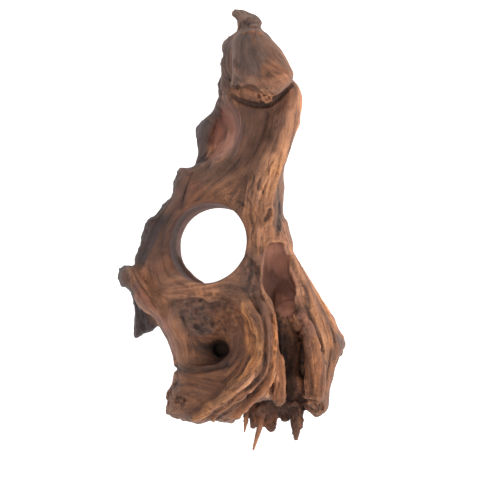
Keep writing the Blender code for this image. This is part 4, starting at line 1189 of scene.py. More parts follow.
@dataclass
class Shoulder(SubAssembly):
    """The lower trunk, round the great bore, with the lip and the knob on its left."""

    name: str = "shoulder_wood"
    node: str = "trunk"
    slot: str = "trunk_wood"
    lobes: Sequence[Lobe] = (
        Lobe(
            [(8, 130), (20, 126), (32, 116), (39, 105), (43, 96), (45.4, 89), (45.8, 83), (43.6, 69),
             (38.4, 55), (36, 44), (35.2, 30), (35.3, 12), (38, 3), (41.3, -10), (42, -30), (36, -52),
             (18, -62), (-8, -62), (-32, -62), (-48, -56), (-58, -46), (-64, -33), (-67.5, -22), (-64.6, -13),
             (-60.5, -2), (-57.6, 6), (-50, 12), (-45, 19), (-41, 25.5), (-39.4, 35), (-35.5, 42.3),
             (-25.6, 44.2), (-22.6, 51), (-23.4, 60), (-26, 65), (-24.6, 71), (-12.6, 81), (-10.4, 92),
             (-8, 102), (-7, 109), (-8, 114), (-5, 119), (-6.4, 125), (-2, 131)],
            [(14, 110, -18, 66), (-4, 108, 10, 62), (25, 90, 8, 60), (42, 84, 20, 58), (2, 80, 8, 56),
             (-18, 62, -4, 19), (-24, 52, -2, 24), (15, 62, 12, 55), (36, 62, 16, 57), (12, 40, 14, 56),
             (30, 34, 18, 61), (-24, 36, 9, 50), (-38, 36, 14, 42), (-8, 27, 14, 55), (22, 14, 12, 65),
             (34, 4, 14, 60), (-44, 4, 8, 46), (-60, -4, 8, 26), (-48, -28, -6, 48), (-66, -22, 10, 32),
             (-15, -44, -2, 62), (16, -26, 6, 69), (34, -30, 4, 64), (-32, -56, 0, 66), (10, -58, 0, 72),
             (36, -50, 0, 62)],
            edge=20, blend=1,
        ),
        Lobe(
            [(-69.6, -24.2), (-75.6, -25.6), (-77.9, -31), (-76.6, -37), (-71.4, -40.4), (-68.2, -45),
             (-62, -54), (-54, -59), (-49.6, -64.5), (-44, -70), (-42, -60), (-50, -48), (-58, -36),
             (-64, -27)],
            [(-74, -31, 16, 36), (-64, -44, 18, 44), (-53, -58, 18, 54), (-45, -66, 10, 62)],
            edge=7, blend=5,
        ),
    )
    bores: Sequence[Bore] = (Bore(28.0, (-15.6, -9.3, 47.0), (-7.3, -13.9, 8.0), 60, 30, rim=3.0),)
    rims: Sequence[Strand] = (
        Strand([(-36.6, -21, 16, 2), (-34, -27.4, 15, 3), (-31, -31, 15, 3.4), (-27.2, -34.4, 15, 3),
                (-21, -37.4, 16, 2)], 4),
    )
    details: Sequence[Strand] = (
        groove([(-67, -27, 0.8), (-62.6, -34.6, 1.5), (-59, -40, 1.7), (-55, -46, 1.2),
                (-51, -53, 0.6)], 1.6),
        groove([(-27, 39.4, 0.5), (-30.6, 30.5, 0.8), (-34.4, 17, 0.6)], 0.4),
        groove([(-36, 14, 0.4), (-30, 18, 0.7), (-22, 20.6, 0.8), (-11, 20.6, 0.8), (-2, 17, 0.6),
                (5, 10, 0.4)], 0.8),
        Strand([(-46.6, -14, 0.8), (-45, -4, 1), (-42.6, 4, 1), (-36, 13, 0.8)], 1.2, sink=0.3),
        groove([(-48, -17, 0.5), (-45.6, -27, 0.8), (-40, -34, 0.8), (-30, -38.6, 0.6)], 0.8),
        Strand([(19.6, 6, 0.8), (21.6, 12, 1.1), (25, 16, 1.2), (27.6, 13, 1.2), (27, 7, 1), (23.4, 3, 1),
                (20.4, 2.6, 0.9)], 1.2),
        groove([(25.8, 13.4, 1), (24.6, 9.6, 1.4), (22.4, 6.2, 1.3)], 0.8),
        groove([(31.4, 30, 0.6), (32, 15, 1), (31.6, 2, 1.3), (30.8, -3, 0.9)], 1.6),
        groove([(9, -18, 1.2), (13, -23, 1.8), (17, -29, 1.8), (19, -34, 1)], 2.4),
        groove([(3, 20, 0.5), (8, 17, 0.8), (13, 11, 0.6)], 0.8),
        groove([(28, 40, 0.6), (22, 28, 0.9), (18, 16, 0.8), (18, 2, 0.6)], 1.2),
        Strand([(24, 36, 0.6), (18.6, 24, 1), (15.6, 12, 1), (16, -2, 0.8)], 1.6, sink=0.2),
        groove([(31, 40, 0.5), (26, 28, 0.8), (25, 20, 0.7)], 1.2),
        groove([(35, 6, 0.5), (35.4, -2, 0.8), (38, -9, 0.6)], 1.2),
    )
    specks: Sequence[Specks] = (
        Specks(13, -26, 6, 16, 0.7), Specks(13, -26, 6, 8, 0.6, Tool.ADD), Specks(24.4, 10, 2.2, 10, 0.5),
        Specks(-54, -52, 3, 6, 0.5),
    )
    fibres: Sequence[Sequence[Row]] = (
        [(-66, -22), (-62, -4), (-52, 8), (-42, 26), (-36, 40)],
        [(-58, -24), (-50, -40), (-28, -43), (-4, -42), (10, -44)],
        [(-74, -30), (-66, -42), (-56, -54), (-46, -66)],
    )
    patches: Sequence[Patch] = (
        Feel.CRUMBLED([(-77, -28, 24, 5), (-74, -38, 26, 5), (-68, -44, 24, 4)], 5, 1.2),
        Feel.CRUMBLED([(-40, 40, 28, 5), (-52, 12, 24, 5), (-64, -8, 20, 5)], 5),
        Feel.CRUMBLED([(12, -20, 3), (16, -30, 3)]),
        Feel.SAWN([(-36, -22, 15, 3), (-31, -31, 15, 5), (-21, -37, 16, 3)], 1),
        Feel.CALM([(-24, 32, 12), (-42, 8, 9), (-54, -8, 6), (-52, -20, 9), (-46, -40, 9)], 10, 0.9),
        Feel.RUGGED([(27, 44, 4), (21, 28, 5), (19, 8, 5), (19, -8, 3)], 6, 0.65),
        Tone.ROSE([(-30, 26, 7), (-42, 8, 6), (-50, -8, 6), (-53, -22, 4)], 8, 0.75),
        # The dark band down the left flank: dark bark, and painted shade on the side turned from the key
        # lamp.
        Tone.BARK([(-40, 41, 2), (-43, 26, 3), (-50, 14, 4), (-57, 4, 5), (-62, -8, 5), (-65, -18, 3)], 6),
        Tone.PAINTED_SHADE([(-37, 34, 1), (-42, 22, 1), (-50, 10, 2), (-57, 0, 4), (-60, -10, 4),
                   (-63, -18, 3)], 5, 0.85),
        Tone.PAINTED_SHADE([(-40, 36, 22, 4), (-44, 20, 20, 4), (-52, 10, 18, 4), (-60, 0, 14, 4),
                   (-65, -14, 16, 4)], 5, 0.6),
        Tone.GOLD([(28, 38, 4), (24, 22, 5), (21, 4, 5), (21, -10, 3)], 6, 0.65),
        Tone.TAN([(-26, 20, 2), (-10, 25, 3), (4, 27, 4)], 6, 0.75),
        Tone.PALE([(10, 26, 4), (14, 10, 3), (15, -2, 3), (14, -13, 3)], 5, 0.6),
        Tone.PALE([(24, -2, 4), (34, -4, 4), (38, -10, 3)], 7, 0.75),
        Tone.AMBER([(10, 30, 6), (12, 8, 5), (16, -8, 5)], 8, 0.7),
        # The pale crescent along the ridge under the bore: paler wood, and painted light on the rim's fillet.
        Tone.PALE([(-60, -31, 2), (-52, -40, 5), (-42, -42, 4), (-28, -40.6, 2.4), (-14, -41, 2)], 5, 0.9),
        Tone.TAN([(-50, -44, 3), (-46, -50, 4)], 6, 0.35),
        Tone.ROSE([(-66, -39, 2.4), (-60, -47, 2.6), (-55, -53, 2.4), (-51, -60, 1.6)], 3, 0.8),
        Tone.PALE([(-65, -49, 1), (-59, -55.6, 1), (-54.5, -55.6, 1.4), (-50, -62, 1)], 1.6, 0.35),
        Tone.BARK([(-76, -28, 3), (-74, -36, 4), (-69, -42, 2)], 4, 0.8),
        # The knob's dark bark, and painted shade on its side turned from the key lamp.
        Tone.INK([(-77, -29, 26, 7), (-75, -37, 26, 7), (-69, -43, 24, 4)], 5, 0.75),
        # Painted shade on the great bore's inner wall, round its upper left.
        Tone.UMBER([(-39, -18, 3), (-38, 0, 3), (-30, 11, 3), (-16, 16, 3), (0, 12, 2)], 4, 0.9),
        # Painted shade in the cracks.
        Tone.PAINTED_SHADE([(-27, 39.4, 0.2), (-30.6, 30.5, 0.4), (-34.4, 17, 0.3)], 0.7, 0.7),
        Tone.PAINTED_SHADE([(-36, 14, 0.2), (-22, 20.6, 0.4), (-2, 17, 0.3)], 0.7, 0.5),
        Tone.PALE([(-20, 18, 1), (-4, 23, 2), (6, 29, 3), (10, 18, 3)], 5, 0.7),
        # Painted shade on the great bore's left wall.
        Tone.PAINTED_SHADE([(-37, 4, 2), (-40, -6, 4), (-39, -16, 4), (-34, -26, 3), (-29, -31, 1)], 5, 0.6),
        Tone.RUST([(-34, 6, 34, 8), (-39, -8, 36, 10), (-35, -26, 36, 9)], 5, 0.85),
        Tone.PAINTED_SHADE([(-38, 2, 34, 8), (-40, -12, 34, 9), (-34, -26, 30, 8)], 5, 0.6),
        Tone.AMBER([(-26, 15, 46, 5), (-14, 18, 47, 5), (-2, 15, 48, 5)], 5, 0.8),
        # More of the left flank's dark bark and painted shade.
        Tone.DUSK([(-34, 36, 4), (-38, 24, 6), (-44, 12, 7), (-49, -2, 7), (-52, -14, 5)], 8, 0.65),
        Tone.INK([(-41, 34, 2), (-47, 20, 3), (-54, 9, 5), (-58, -3, 6), (-62, -14, 5)], 8, 0.85),
        Tone.PAINTED_SHADE([(-42, 32, 1), (-48, 17, 2), (-55, 7, 3), (-58, -5, 4), (-61, -16, 4)], 5, 0.45),
        Tone.INK([(-41, 38, 24, 5), (-46, 20, 20, 5), (-54, 10, 18, 5), (-60, 0, 18, 6),
                  (-64, -14, 18, 6)], 6, 0.75),
        # Painted shade low on the left flank.
        Tone.PAINTED_SHADE([(-62, -4, 14, 4), (-65, -14, 14, 5), (-67, -22, 16, 3)], 4, 0.7),
        Tone.SLATE([(31, 27, 1.2), (31.8, 14, 1.6), (31.2, 1, 2.2)], 1.6, 0.85),
        # Painted shade in the knot's groove.
        Tone.PAINTED_SHADE([(25.8, 13.4, 0.6), (24.6, 9.6, 1), (22.4, 6.2, 0.8)], 1.2, 0.75),
        Tone.DUSK([(12, -18, 2), (12, -24, 4), (14, -32, 5), (10, -40, 4)], 4, 0.85),
        # Painted shade in the pits of the dark patch.
        Tone.PAINTED_SHADE([(11, -20, 2), (13, -28, 3), (9, -34, 2)], 3, 0.35),
        # Painted highlights on the lit ridges right of the bore.
        Tone.PAINTED_LIGHT([(19.4, 36, 2.4), (17.6, 26, 2.4)], 4, 0.5),
        Tone.PAINTED_LIGHT([(20, 0, 2), (19.6, -8, 2)], 3, 0.5),
        Tone.PAINTED_LIGHT([(35.4, 4, 1.6), (36, -3, 1.6)], 2.4, 0.45),
        # Painted highlight on the great bore's left rim.
        Tone.PALE([(-46, -21, 2.4), (-47, -29, 3), (-40, -36, 2.4)], 4, 0.25),
        # Painted shade deeper on the great bore's left wall.
        Tone.PAINTED_SHADE([(-37, 0, 34, 7), (-39, -10, 34, 8), (-36, -20, 32, 7)], 4, 0.45),
        # Painted shade down the left flank.
        Tone.PAINTED_SHADE([(-45, 18, 1.6), (-52, 9, 2.4), (-59, -5, 3), (-62, -14, 3)], 4, 0.4),
        # Dark bark and painted shade on the lip's left edge.
        Tone.INK([(-64, -37, 1.4), (-68, -42, 2), (-68, -47, 2)], 3, 0.5),
    )


@dataclass
class CupLobe(SubAssembly):
    """The lower left lobe: a burr cup with a deep hole, inside layered ridges."""

    name: str = "cup_lobe_wood"
    node: str = "cup_lobe"
    slot: str = "cup_wood"
    seam_down: Row = (44, 60, 84)  # how far down the channel's seam is followed
    seam_across: Row = (20, 31, 39)  # and how far across it lies there
    lobes: Sequence[Lobe] = (
        Lobe(
            [(-34, -50), (0, -46), (36, -46), (54, -60), (56, -90), (52, -104), (40, -110), (20, -112),
             (-6, -108), (-30, -92)],
            [(0, -60, 0, 26), (36, -70, 0, 22), (42, -98, 4, 18), (10, -98, 4, 22)],
            edge=12, blend=8,
        ),
        Lobe(
            [(-46, -71), (-42.6, -79), (-40.3, -88), (-39.6, -96), (-39.8, -104), (-43.2, -110),
             (-44.4, -117), (-45.2, -125), (-40, -128.6), (-30, -131), (-22, -132), (-14, -130), (-3, -131.2),
             (3, -129), (10, -122), (18, -117), (27, -114), (30.5, -106), (30.5, -92), (29.6, -76),
             (28.4, -62), (24, -48), (16, -38), (-4, -34), (-28, -38), (-42, -48), (-49, -62)],
            [(-38, -70, 6, 68), (-32, -88, 4, 66), (-12, -44, 2, 62), (16, -46, 4, 71), (17, -76, 2, 80),
             (26, -60, 4, 72), (28, -90, 14, 74), (-12, -78, -4, 62), (-28, -104, -6, 64),
             (-38, -122, 22, 56), (-10, -108, 10, 68), (10, -104, 12, 75), (-22, -128, 28, 58),
             (2, -124, 36, 60), (18, -112, 42, 70)],
            edge=15, blend=8,
        ),
    )
    ribs: Sequence[Strand] = (
        Strand([(3, -42, 64, 4), (8.4, -51.6, 72, 4.8), (13.2, -62, 77.4, 5.8), (16, -73, 80, 6.4),
                (16.4, -83, 80, 6.4), (14, -92, 79, 6), (8.8, -99.6, 75.6, 5.4), (1.4, -106.6, 71, 4.6),
                (-7, -114.4, 66.6, 4), (-16.6, -122, 61, 3.6), (-25, -127.6, 55, 3.4)], 5),
        Strand([(14, -42, 60, 3), (20.6, -54, 73, 3.2), (24, -66, 78, 3.4), (25, -78, 79, 3.4),
                (23.4, -90, 78, 3.4), (19, -99, 75, 3.2), (11.6, -107.2, 71, 3.2), (3, -114.4, 66, 3),
                (-5.6, -121.6, 60, 2.8), (-12.4, -127.6, 54, 2.8)], 2.4),
        Strand([(19, -34, 58, 3), (24.6, -50, 68, 3), (28, -64, 73, 3), (28.8, -78, 74, 3), (28, -91, 74, 3),
                (25, -101, 72, 3.2), (19, -110, 68, 3), (11.6, -117.4, 62, 2.8), (3, -126, 55, 2.8)], 2.4),
        Strand([(30, -82, 38, 6), (31.4, -94, 36, 6.4), (32, -108, 38, 5.6)], 5),
        Strand([(29.4, -81, 52, 4.4), (30.4, -92, 51, 4.6), (31.6, -103, 51, 5), (31.4, -112, 49, 4.6)], 4),
        Strand([(29.8, -80, 64, 2.8), (30.8, -92, 65, 3.4), (32.2, -102, 65, 4.2), (32.6, -110, 63, 4.4),
                (31.4, -115, 59, 3.6)], 3),
    )
    hollows: Sequence[Strand] = (
        groove([(-16, -54, 90, 17), (-14, -66, 86, 22), (-12, -78, 84, 22)], 6),
        groove([(-8, -62, 102, 30), (-6, -76, 102, 32), (-9, -90, 100, 29)], 6),
        groove([(-23, -79, 66, 5), (-15, -80, 63, 7.6), (-8.6, -81, 57, 6.8)], 8),
        groove([(-8.4, -81, 56, 5), (-7.2, -81.6, 34, 4.4)], 4),
        groove([(-31, -92, 68, 3), (-22, -88, 63, 4), (-12, -84, 58, 5)], 6),
    )
    details: Sequence[Strand] = (
        groove([(-44, -43.4, 0.5), (-33, -42.4, 1), (-20, -43.4, 1.3), (-10, -44.4, 1.1),
                (-3, -47, 0.7)], 1.6),
        groove([(-34.2, -46.6, 0.9), (-34.4, -56, 1.4), (-33, -64, 1.4), (-29.4, -73, 1.2), (-28, -85, 1),
                (-28, -92, 0.6)], 2.4),
        Strand([(-29, -47.4, 0.5), (-28.8, -53, 0.8), (-28.2, -59, 0.5)], 0.8, sink=0.2),
        groove([(-40, -94.6, 1), (-30, -96.4, 1.6), (-20, -94.4, 1.8), (-11, -92.8, 1.6),
                (-3, -91, 0.8)], 2.4),
        groove([(-39, -104.6, 0.5), (-31, -104.8, 0.8), (-24, -104.6, 0.5)], 1.2),
        Strand([(-6.8, -102, 0.4), (-1.6, -96.4, 0.7), (3.4, -90.6, 0.8), (5.8, -86.6, 0.5)], 0.8, sink=0.2),
        groove([(-4.6, -102.4, 0.4), (0.4, -97, 0.7), (5, -91.4, 0.8), (7.4, -87, 0.5)], 0.7),
        groove([(22.6, -84, 0.6), (22, -92, 1.1), (19.4, -98.6, 1.5), (15, -103.4, 1.6),
                (9, -108, 1.1)], 1.2, sink=-0.4),
        groove([(23.6, -99, 1), (18, -106.4, 1.6), (10.4, -112.6, 1.6), (2, -118.8, 1.5), (-5.4, -124.6, 1.4),
                (-11, -129, 1.4)], 1.2, sink=-0.4),
        groove([(15.4, -95, 0.4), (9.4, -101.4, 0.8), (0.6, -109.4, 0.7)], 0.6),
        groove([(-7.6, -118, 1.1), (-6.4, -117.6, 0.7)], 0.6),
        groove([(21.6, -58, 0.5), (22.2, -70, 1), (21.8, -80, 1.1), (20, -91, 0.8)], 1),
        groove([(26.6, -56, 0.5), (27, -70, 0.9), (26.6, -84, 1.1), (25.4, -95, 0.8)], 1),
        Strand([(11.4, -57, 0.4), (16, -68, 0.6), (18.4, -79, 0.6), (16.4, -89, 0.5)], 0.8),
        Strand([(19.4, -63, 0.4), (20.8, -74, 0.7), (20.2, -85, 0.6), (16.6, -94, 0.4)], 0.8, sink=0.1),
        Strand([(28.6, -57, 1), (29.4, -66, 1.4), (29.7, -78, 1.4), (29, -88, 1.2), (27.4, -97, 1),
                (24.4, -105, 0.8)], 0.8, sink=0.3),
        groove([(31.6, -90, 0.4), (31.6, -101, 0.8), (29.8, -112, 0.6)], 0.8),
        groove([(32.4, -92, 0.4), (33.8, -103, 0.8), (33.6, -113, 0.6)], 0.8),
        Strand([(30.2, -88, 64, 1.4), (31.6, -85, 63, 1.5), (33.4, -88, 63, 1.5), (34.8, -96, 64, 1.5),
                (35.8, -104, 64, 1.4)], 0.8),
        groove([(32, -88, 68, 0.8), (32.8, -93, 69, 1), (33.2, -98, 69, 0.7)], 0.5),
        Strand([(28.6, -115, 1.2), (31.6, -118, 1.5), (35, -116, 1.3)], 1.4, sink=0.4),
        groove([(-30, -112, 0.5), (-22, -116, 0.8), (-15, -121, 0.6)], 1.4),
        Strand([(-24, -99, 0.6), (-14, -100, 1), (-7, -104, 0.8)], 1.6, sink=0.3),
        groove([(-24.4, -65.4, 1.4), (-22.8, -66.6, 1.2)], 0.8),
        groove([(-21, -69, 0.9), (-20, -69.6, 0.8)], 0.8),
    )
    specks: Sequence[Specks] = (
        Specks(-11, -57, 15, 44, 0.42), Specks(-8, -60, 13, 50, 0.55, Tool.ADD),
        Specks(-35, -116, 4, 12, 0.9), Specks(-35, -116, 5, 10, 0.9, Tool.ADD),
        Specks(-16, -104, 12, 14, 0.45),
    )
    fibres: Sequence[Sequence[Row]] = (
        [(9, -50), (14, -64), (16.5, -76), (16, -86), (12, -96), (4, -106), (-8, -115), (-18, -122),
         (-26, -130)],
        [(24, -50), (27.4, -68), (28, -84), (26, -98), (18, -112), (8, -120), (0, -129)],
        [(-58, -42), (-50, -56), (-42, -70), (-36, -84), (-34, -92)],
        [(-26, -54), (-16, -60), (-6, -56), (2, -64), (-6, -68), (-16, -66)],
        [(4, -54), (9, -66), (10, -78), (6, -90), (-2, -100)],
        [(-36, -96), (-20, -97), (-4, -98)],
        [(-36, -104), (-20, -106), (-8, -110)],
        [(-40, -122), (-28, -118), (-14, -112)],
    )
    swirls: Sequence[Swirl] = (Swirl(-12, -60, 20, 1.6), Swirl(-30, -114, 14, 0.4))
    patches: Sequence[Patch] = (
        Feel.CRUMBLED([(-22, -54, 66, 9), (-6, -60, 64, 10)], 8),
        Feel.CRUMBLED([(-44, -114, 44, 5), (-44, -124, 40, 5), (-34, -130, 44, 4)], 5, 1.5),
        Feel.CRUMBLED([(-40, -92, 50, 4), (-41, -102, 46, 4)], 4, 1.6),
        Feel.CRUMBLED([(-14, -128, 50, 5), (2, -128, 50, 5), (14, -119, 52, 5)]),
        Feel.CALM([(-46, -60, 7), (-40, -74, 6), (-35, -86, 5)], 6, 0.9),
        Feel.CALM([(-28, -106, 7), (-16, -104, 8), (-14, -114, 4)], 6, 0.75),
        Feel.RUGGED([(12, -58, 5), (20, -76, 8), (18, -94, 8), (6, -110, 7), (-14, -124, 6)], 5, 0.9),
        Feel.RUGGED([(30, -80, 4), (33, -100, 5), (32, -112, 5)], 4, 0.9),
        Tone.AMBER([(-14, -94, 60, 30), (12, -80, 62, 28)], 8, 0.85),
        Tone.TAN([(-46, -58, 5), (-40, -72, 5), (-35, -86, 3)], 5, 0.4),
        Tone.ROSE([(-48, -60, 2), (-44, -68, 3), (-41, -78, 2.4), (-39.6, -88, 2)], 4, 0.8),
        Tone.RUST([(-12, -54, 6), (-6, -64, 6), (-16, -62, 8)], 7, 0.6),
        Tone.BARK([(-26, -50, 4), (-25, -58, 6), (-22, -67, 4)], 6, 0.9),
        # Painted shade at the cup's upper left.
        Tone.PAINTED_SHADE([(-27, -50, 2), (-25, -60, 3)], 6, 0.3),
        Tone.UMBER([(-26, -50, 3), (-24, -60, 4), (-10, -50, 2), (4, -48, 2)], 6, 0.5),
        Tone.TAN([(-37, -74, 2), (-34, -84, 2)], 4, 0.5),
        # Painted shade in the two pits.
        Tone.PAINTED_SHADE([(-24.4, -65.4, 1.4), (-20.4, -69, 1)], 1.4, 0.6),
        # Painted shade in and round the cup's deep hole.
        Tone.UMBER([(-26, -79, 2), (-10, -80.6, 7), (2, -84, 4)], 6, 0.7),
        Tone.PAINTED_SHADE([(-24, -79, 1), (-14, -80, 2.4), (-7, -81.4, 5), (0, -85, 2)], 4, 0.85),
        Tone.PAINTED_SHADE([(-8, -81, 48, 4.4), (-7.2, -81.6, 34, 7)], 3, 0.85),
        Tone.UMBER([(0, -72, 2), (3, -78, 3), (2, -84, 2.4)], 4, 0.6),
        # Painted shade in the step under the bore's lower rim.
        Tone.PAINTED_SHADE([(-30, -44.6, 1), (-22, -45, 1.6), (-14, -46.6, 1.8), (-6, -48.6, 1.4)], 3, 0.55),
        Tone.UMBER([(-29, -90, 3), (-18, -88, 4), (-6, -88, 4), (3, -85, 3)], 5, 0.6),
        Tone.RUST([(-30, -101, 4), (-16, -103, 6), (-6, -106, 5), (-16, -112, 4)], 6, 0.55),
        Tone.UMBER([(-34, -113, 3), (-34, -120, 4), (-26, -124, 3)], 5, 0.6),
        Tone.UMBER([(-20, -110, 3), (-6, -110, 3)], 5, 0.4),
        Tone.TAN([(-43, -108, 1), (-43.6, -116, 1)], 3, 0.5),
        # Painted shade in the pits.
        Tone.PAINTED_SHADE([(-36, -114, 1), (-33, -117, 1.2)], 2, 0.5),
        Tone.ORANGE([(5, -58, 2.4), (9, -68, 3), (10, -79, 3), (7, -91, 3)], 4, 0.7),
        Tone.GOLD([(7.6, -50, 0.3), (10.4, -57.4, 1.4), (14, -66.6, 2.8), (16.4, -76, 3.8), (16.2, -84, 3.8),
                   (13, -92, 3.6), (7.4, -98, 3), (0.4, -104.4, 2.6), (-7, -114, 2.4), (-17, -122.4, 2.2),
                   (-25, -128.4, 2)], 2.4),
        Tone.DUSK([(15, -41, 2), (21, -54, 2.4), (24, -66, 2), (24.8, -78, 1.6), (23.6, -90, 1)], 2.4, 0.7),
        # Painted highlights on the lower ridges' crests.
        Tone.PAINTED_LIGHT([(4, -106.6, 1), (9, -103, 1.6), (14, -98.6, 1.2)], 2, 0.7),
        Tone.PAINTED_LIGHT([(12, -108.6, 1), (16, -105.6, 1.2), (19.6, -101, 1)], 1.6, 0.7),
        Tone.TAN([(22, -94, 1), (17, -102, 1.4), (8, -109, 1.4), (0.6, -116, 1.4),
                  (-9, -122, 1.6)], 1.6, 0.8),
        # Painted shade in the grooves between the ridges.
        Tone.PAINTED_SHADE([(22.6, -84, 0.4), (22, -92, 0.8), (19.4, -98.6, 1.1), (15, -103.4, 1.1),
                   (9, -108, 0.7)], 1.2, 0.7),
        Tone.PAINTED_SHADE([(23.6, -99, 0.5), (18, -106.4, 1), (10.4, -112.6, 1), (2, -118.8, 1), (-5.4, -124.6, 0.9),
                   (-11, -129, 0.9)], 1.2, 0.6),
        Tone.AMBER([(22, -60, 2), (25, -78, 2.4), (24, -92, 2.4)], 3, 0.35),
        Tone.ORANGE([(28.6, -58, 1.6), (29.6, -74, 1.8), (28.8, -88, 1.8), (26, -100, 2), (20, -110, 2),
                     (12, -118, 2), (3, -126, 2)], 2, 0.6),
        Tone.ORANGE([(32.4, -92, 3), (33.4, -102, 4), (32.4, -113, 4)], 3, 0.6),
        # Painted light on the outer ridge.
        Tone.PAINTED_LIGHT([(29, -98, 1.4), (28, -106, 2), (26, -112, 1.4)], 2.4, 0.8),
        # Painted light on the gold band's slope, which faces away from the key lamp.
        Tone.GOLD_AND_PAINTED_LIGHT([(8.6, -57, 1), (11, -63, 2.4), (13.4, -71, 3.4), (14.8, -82, 3.4), (12.8, -91, 2.6),
                    (6, -99, 1.4)], 2.4, 0.85),
        # Painted shade along the cup's upper left.
        Tone.PAINTED_SHADE([(-26, -46, 1.6), (-18, -47.4, 2.4), (-8, -49.4, 2)], 4, 0.3),
        Tone.PAINTED_SHADE([(-23, -51, 2.4), (-20, -59, 3), (-23, -66, 2.4)], 5, 0.25),
        Tone.UMBER([(-50, -61, 1), (-46.6, -68, 1), (-45, -73, 1)], 3, 0.6),
        # Painted shade round the hole.
        Tone.PAINTED_SHADE([(-21, -79.6, 2), (-15, -82, 2.4), (-6, -87, 2), (2, -84, 1.6)], 4, 0.55),
        Tone.UMBER([(4, -74, 1.6), (6.6, -80, 1.6), (5, -87, 1.6)], 3, 0.5),
        # Painted shade in the grooves below the hole.
        Tone.PAINTED_SHADE([(-38, -94, 1.2), (-24, -93.6, 2.2), (-12, -91.6, 2.6), (-2, -89.6, 1.8)], 3, 0.8),
        Tone.PAINTED_SHADE([(2, -103, 1), (-5, -110, 1.6), (-12, -115, 1.2)], 3, 0.5),
        Tone.UMBER([(2, -68, 2), (4, -78, 2.4), (1, -86, 2)], 4, 0.7),
        # Painted shade, with a reddish cast, on the root stubs under the chin.
        Tone.RUST([(18, -124, 34, 7), (28, -124, 30, 7)]),
        Tone.PAINTED_SHADE([(24, -121, 33, 6), (30, -121, 32, 6), (36, -119, 32, 6)], 4, 0.75),
        # Painted highlight along the outer ridge's crest.
        Tone.GOLD_AND_PAINTED_LIGHT([(28.8, -60, 0.8), (29.4, -72, 1), (29, -86, 1), (28, -97, 0.9),
                    (26.4, -108, 0.8)], 1.4, 0.7),
        Tone.PALE([(34.4, -88, 0.4), (35.6, -98, 0.5), (36, -108, 0.5)], 1, 0.6),
        # Painted light low on the outer ridge.
        Tone.PAINTED_LIGHT([(28, -108, 1.4), (27.6, -113, 1.4)], 2, 0.5),
        Tone.UMBER([(27.2, -91, 1), (26.4, -99, 1.2)], 2, 0.4),
    )

    def holds(self, x: Array, y: Array, z: Array) -> Array:
        """True below the bore and left of the channel."""
        seam = np.interp(-y, self.seam_down, self.seam_across)
        return (y < -self.seam_down[0]) & (x < seam)


@dataclass
class Chin(SubAssembly):
    """The foot of the cup lobe, where its ridges run out."""

    name: str = "chin_wood"
    node: str = "cup_lobe"
    slot: str = "cup_wood"
    top: float = -97.0  # where the cup ends
    right: float = 39.0

    def holds(self, x: Array, y: Array, z: Array) -> Array:
        """True below the cup's hole and left of the channel."""
        return (y < self.top) & (x < self.right)


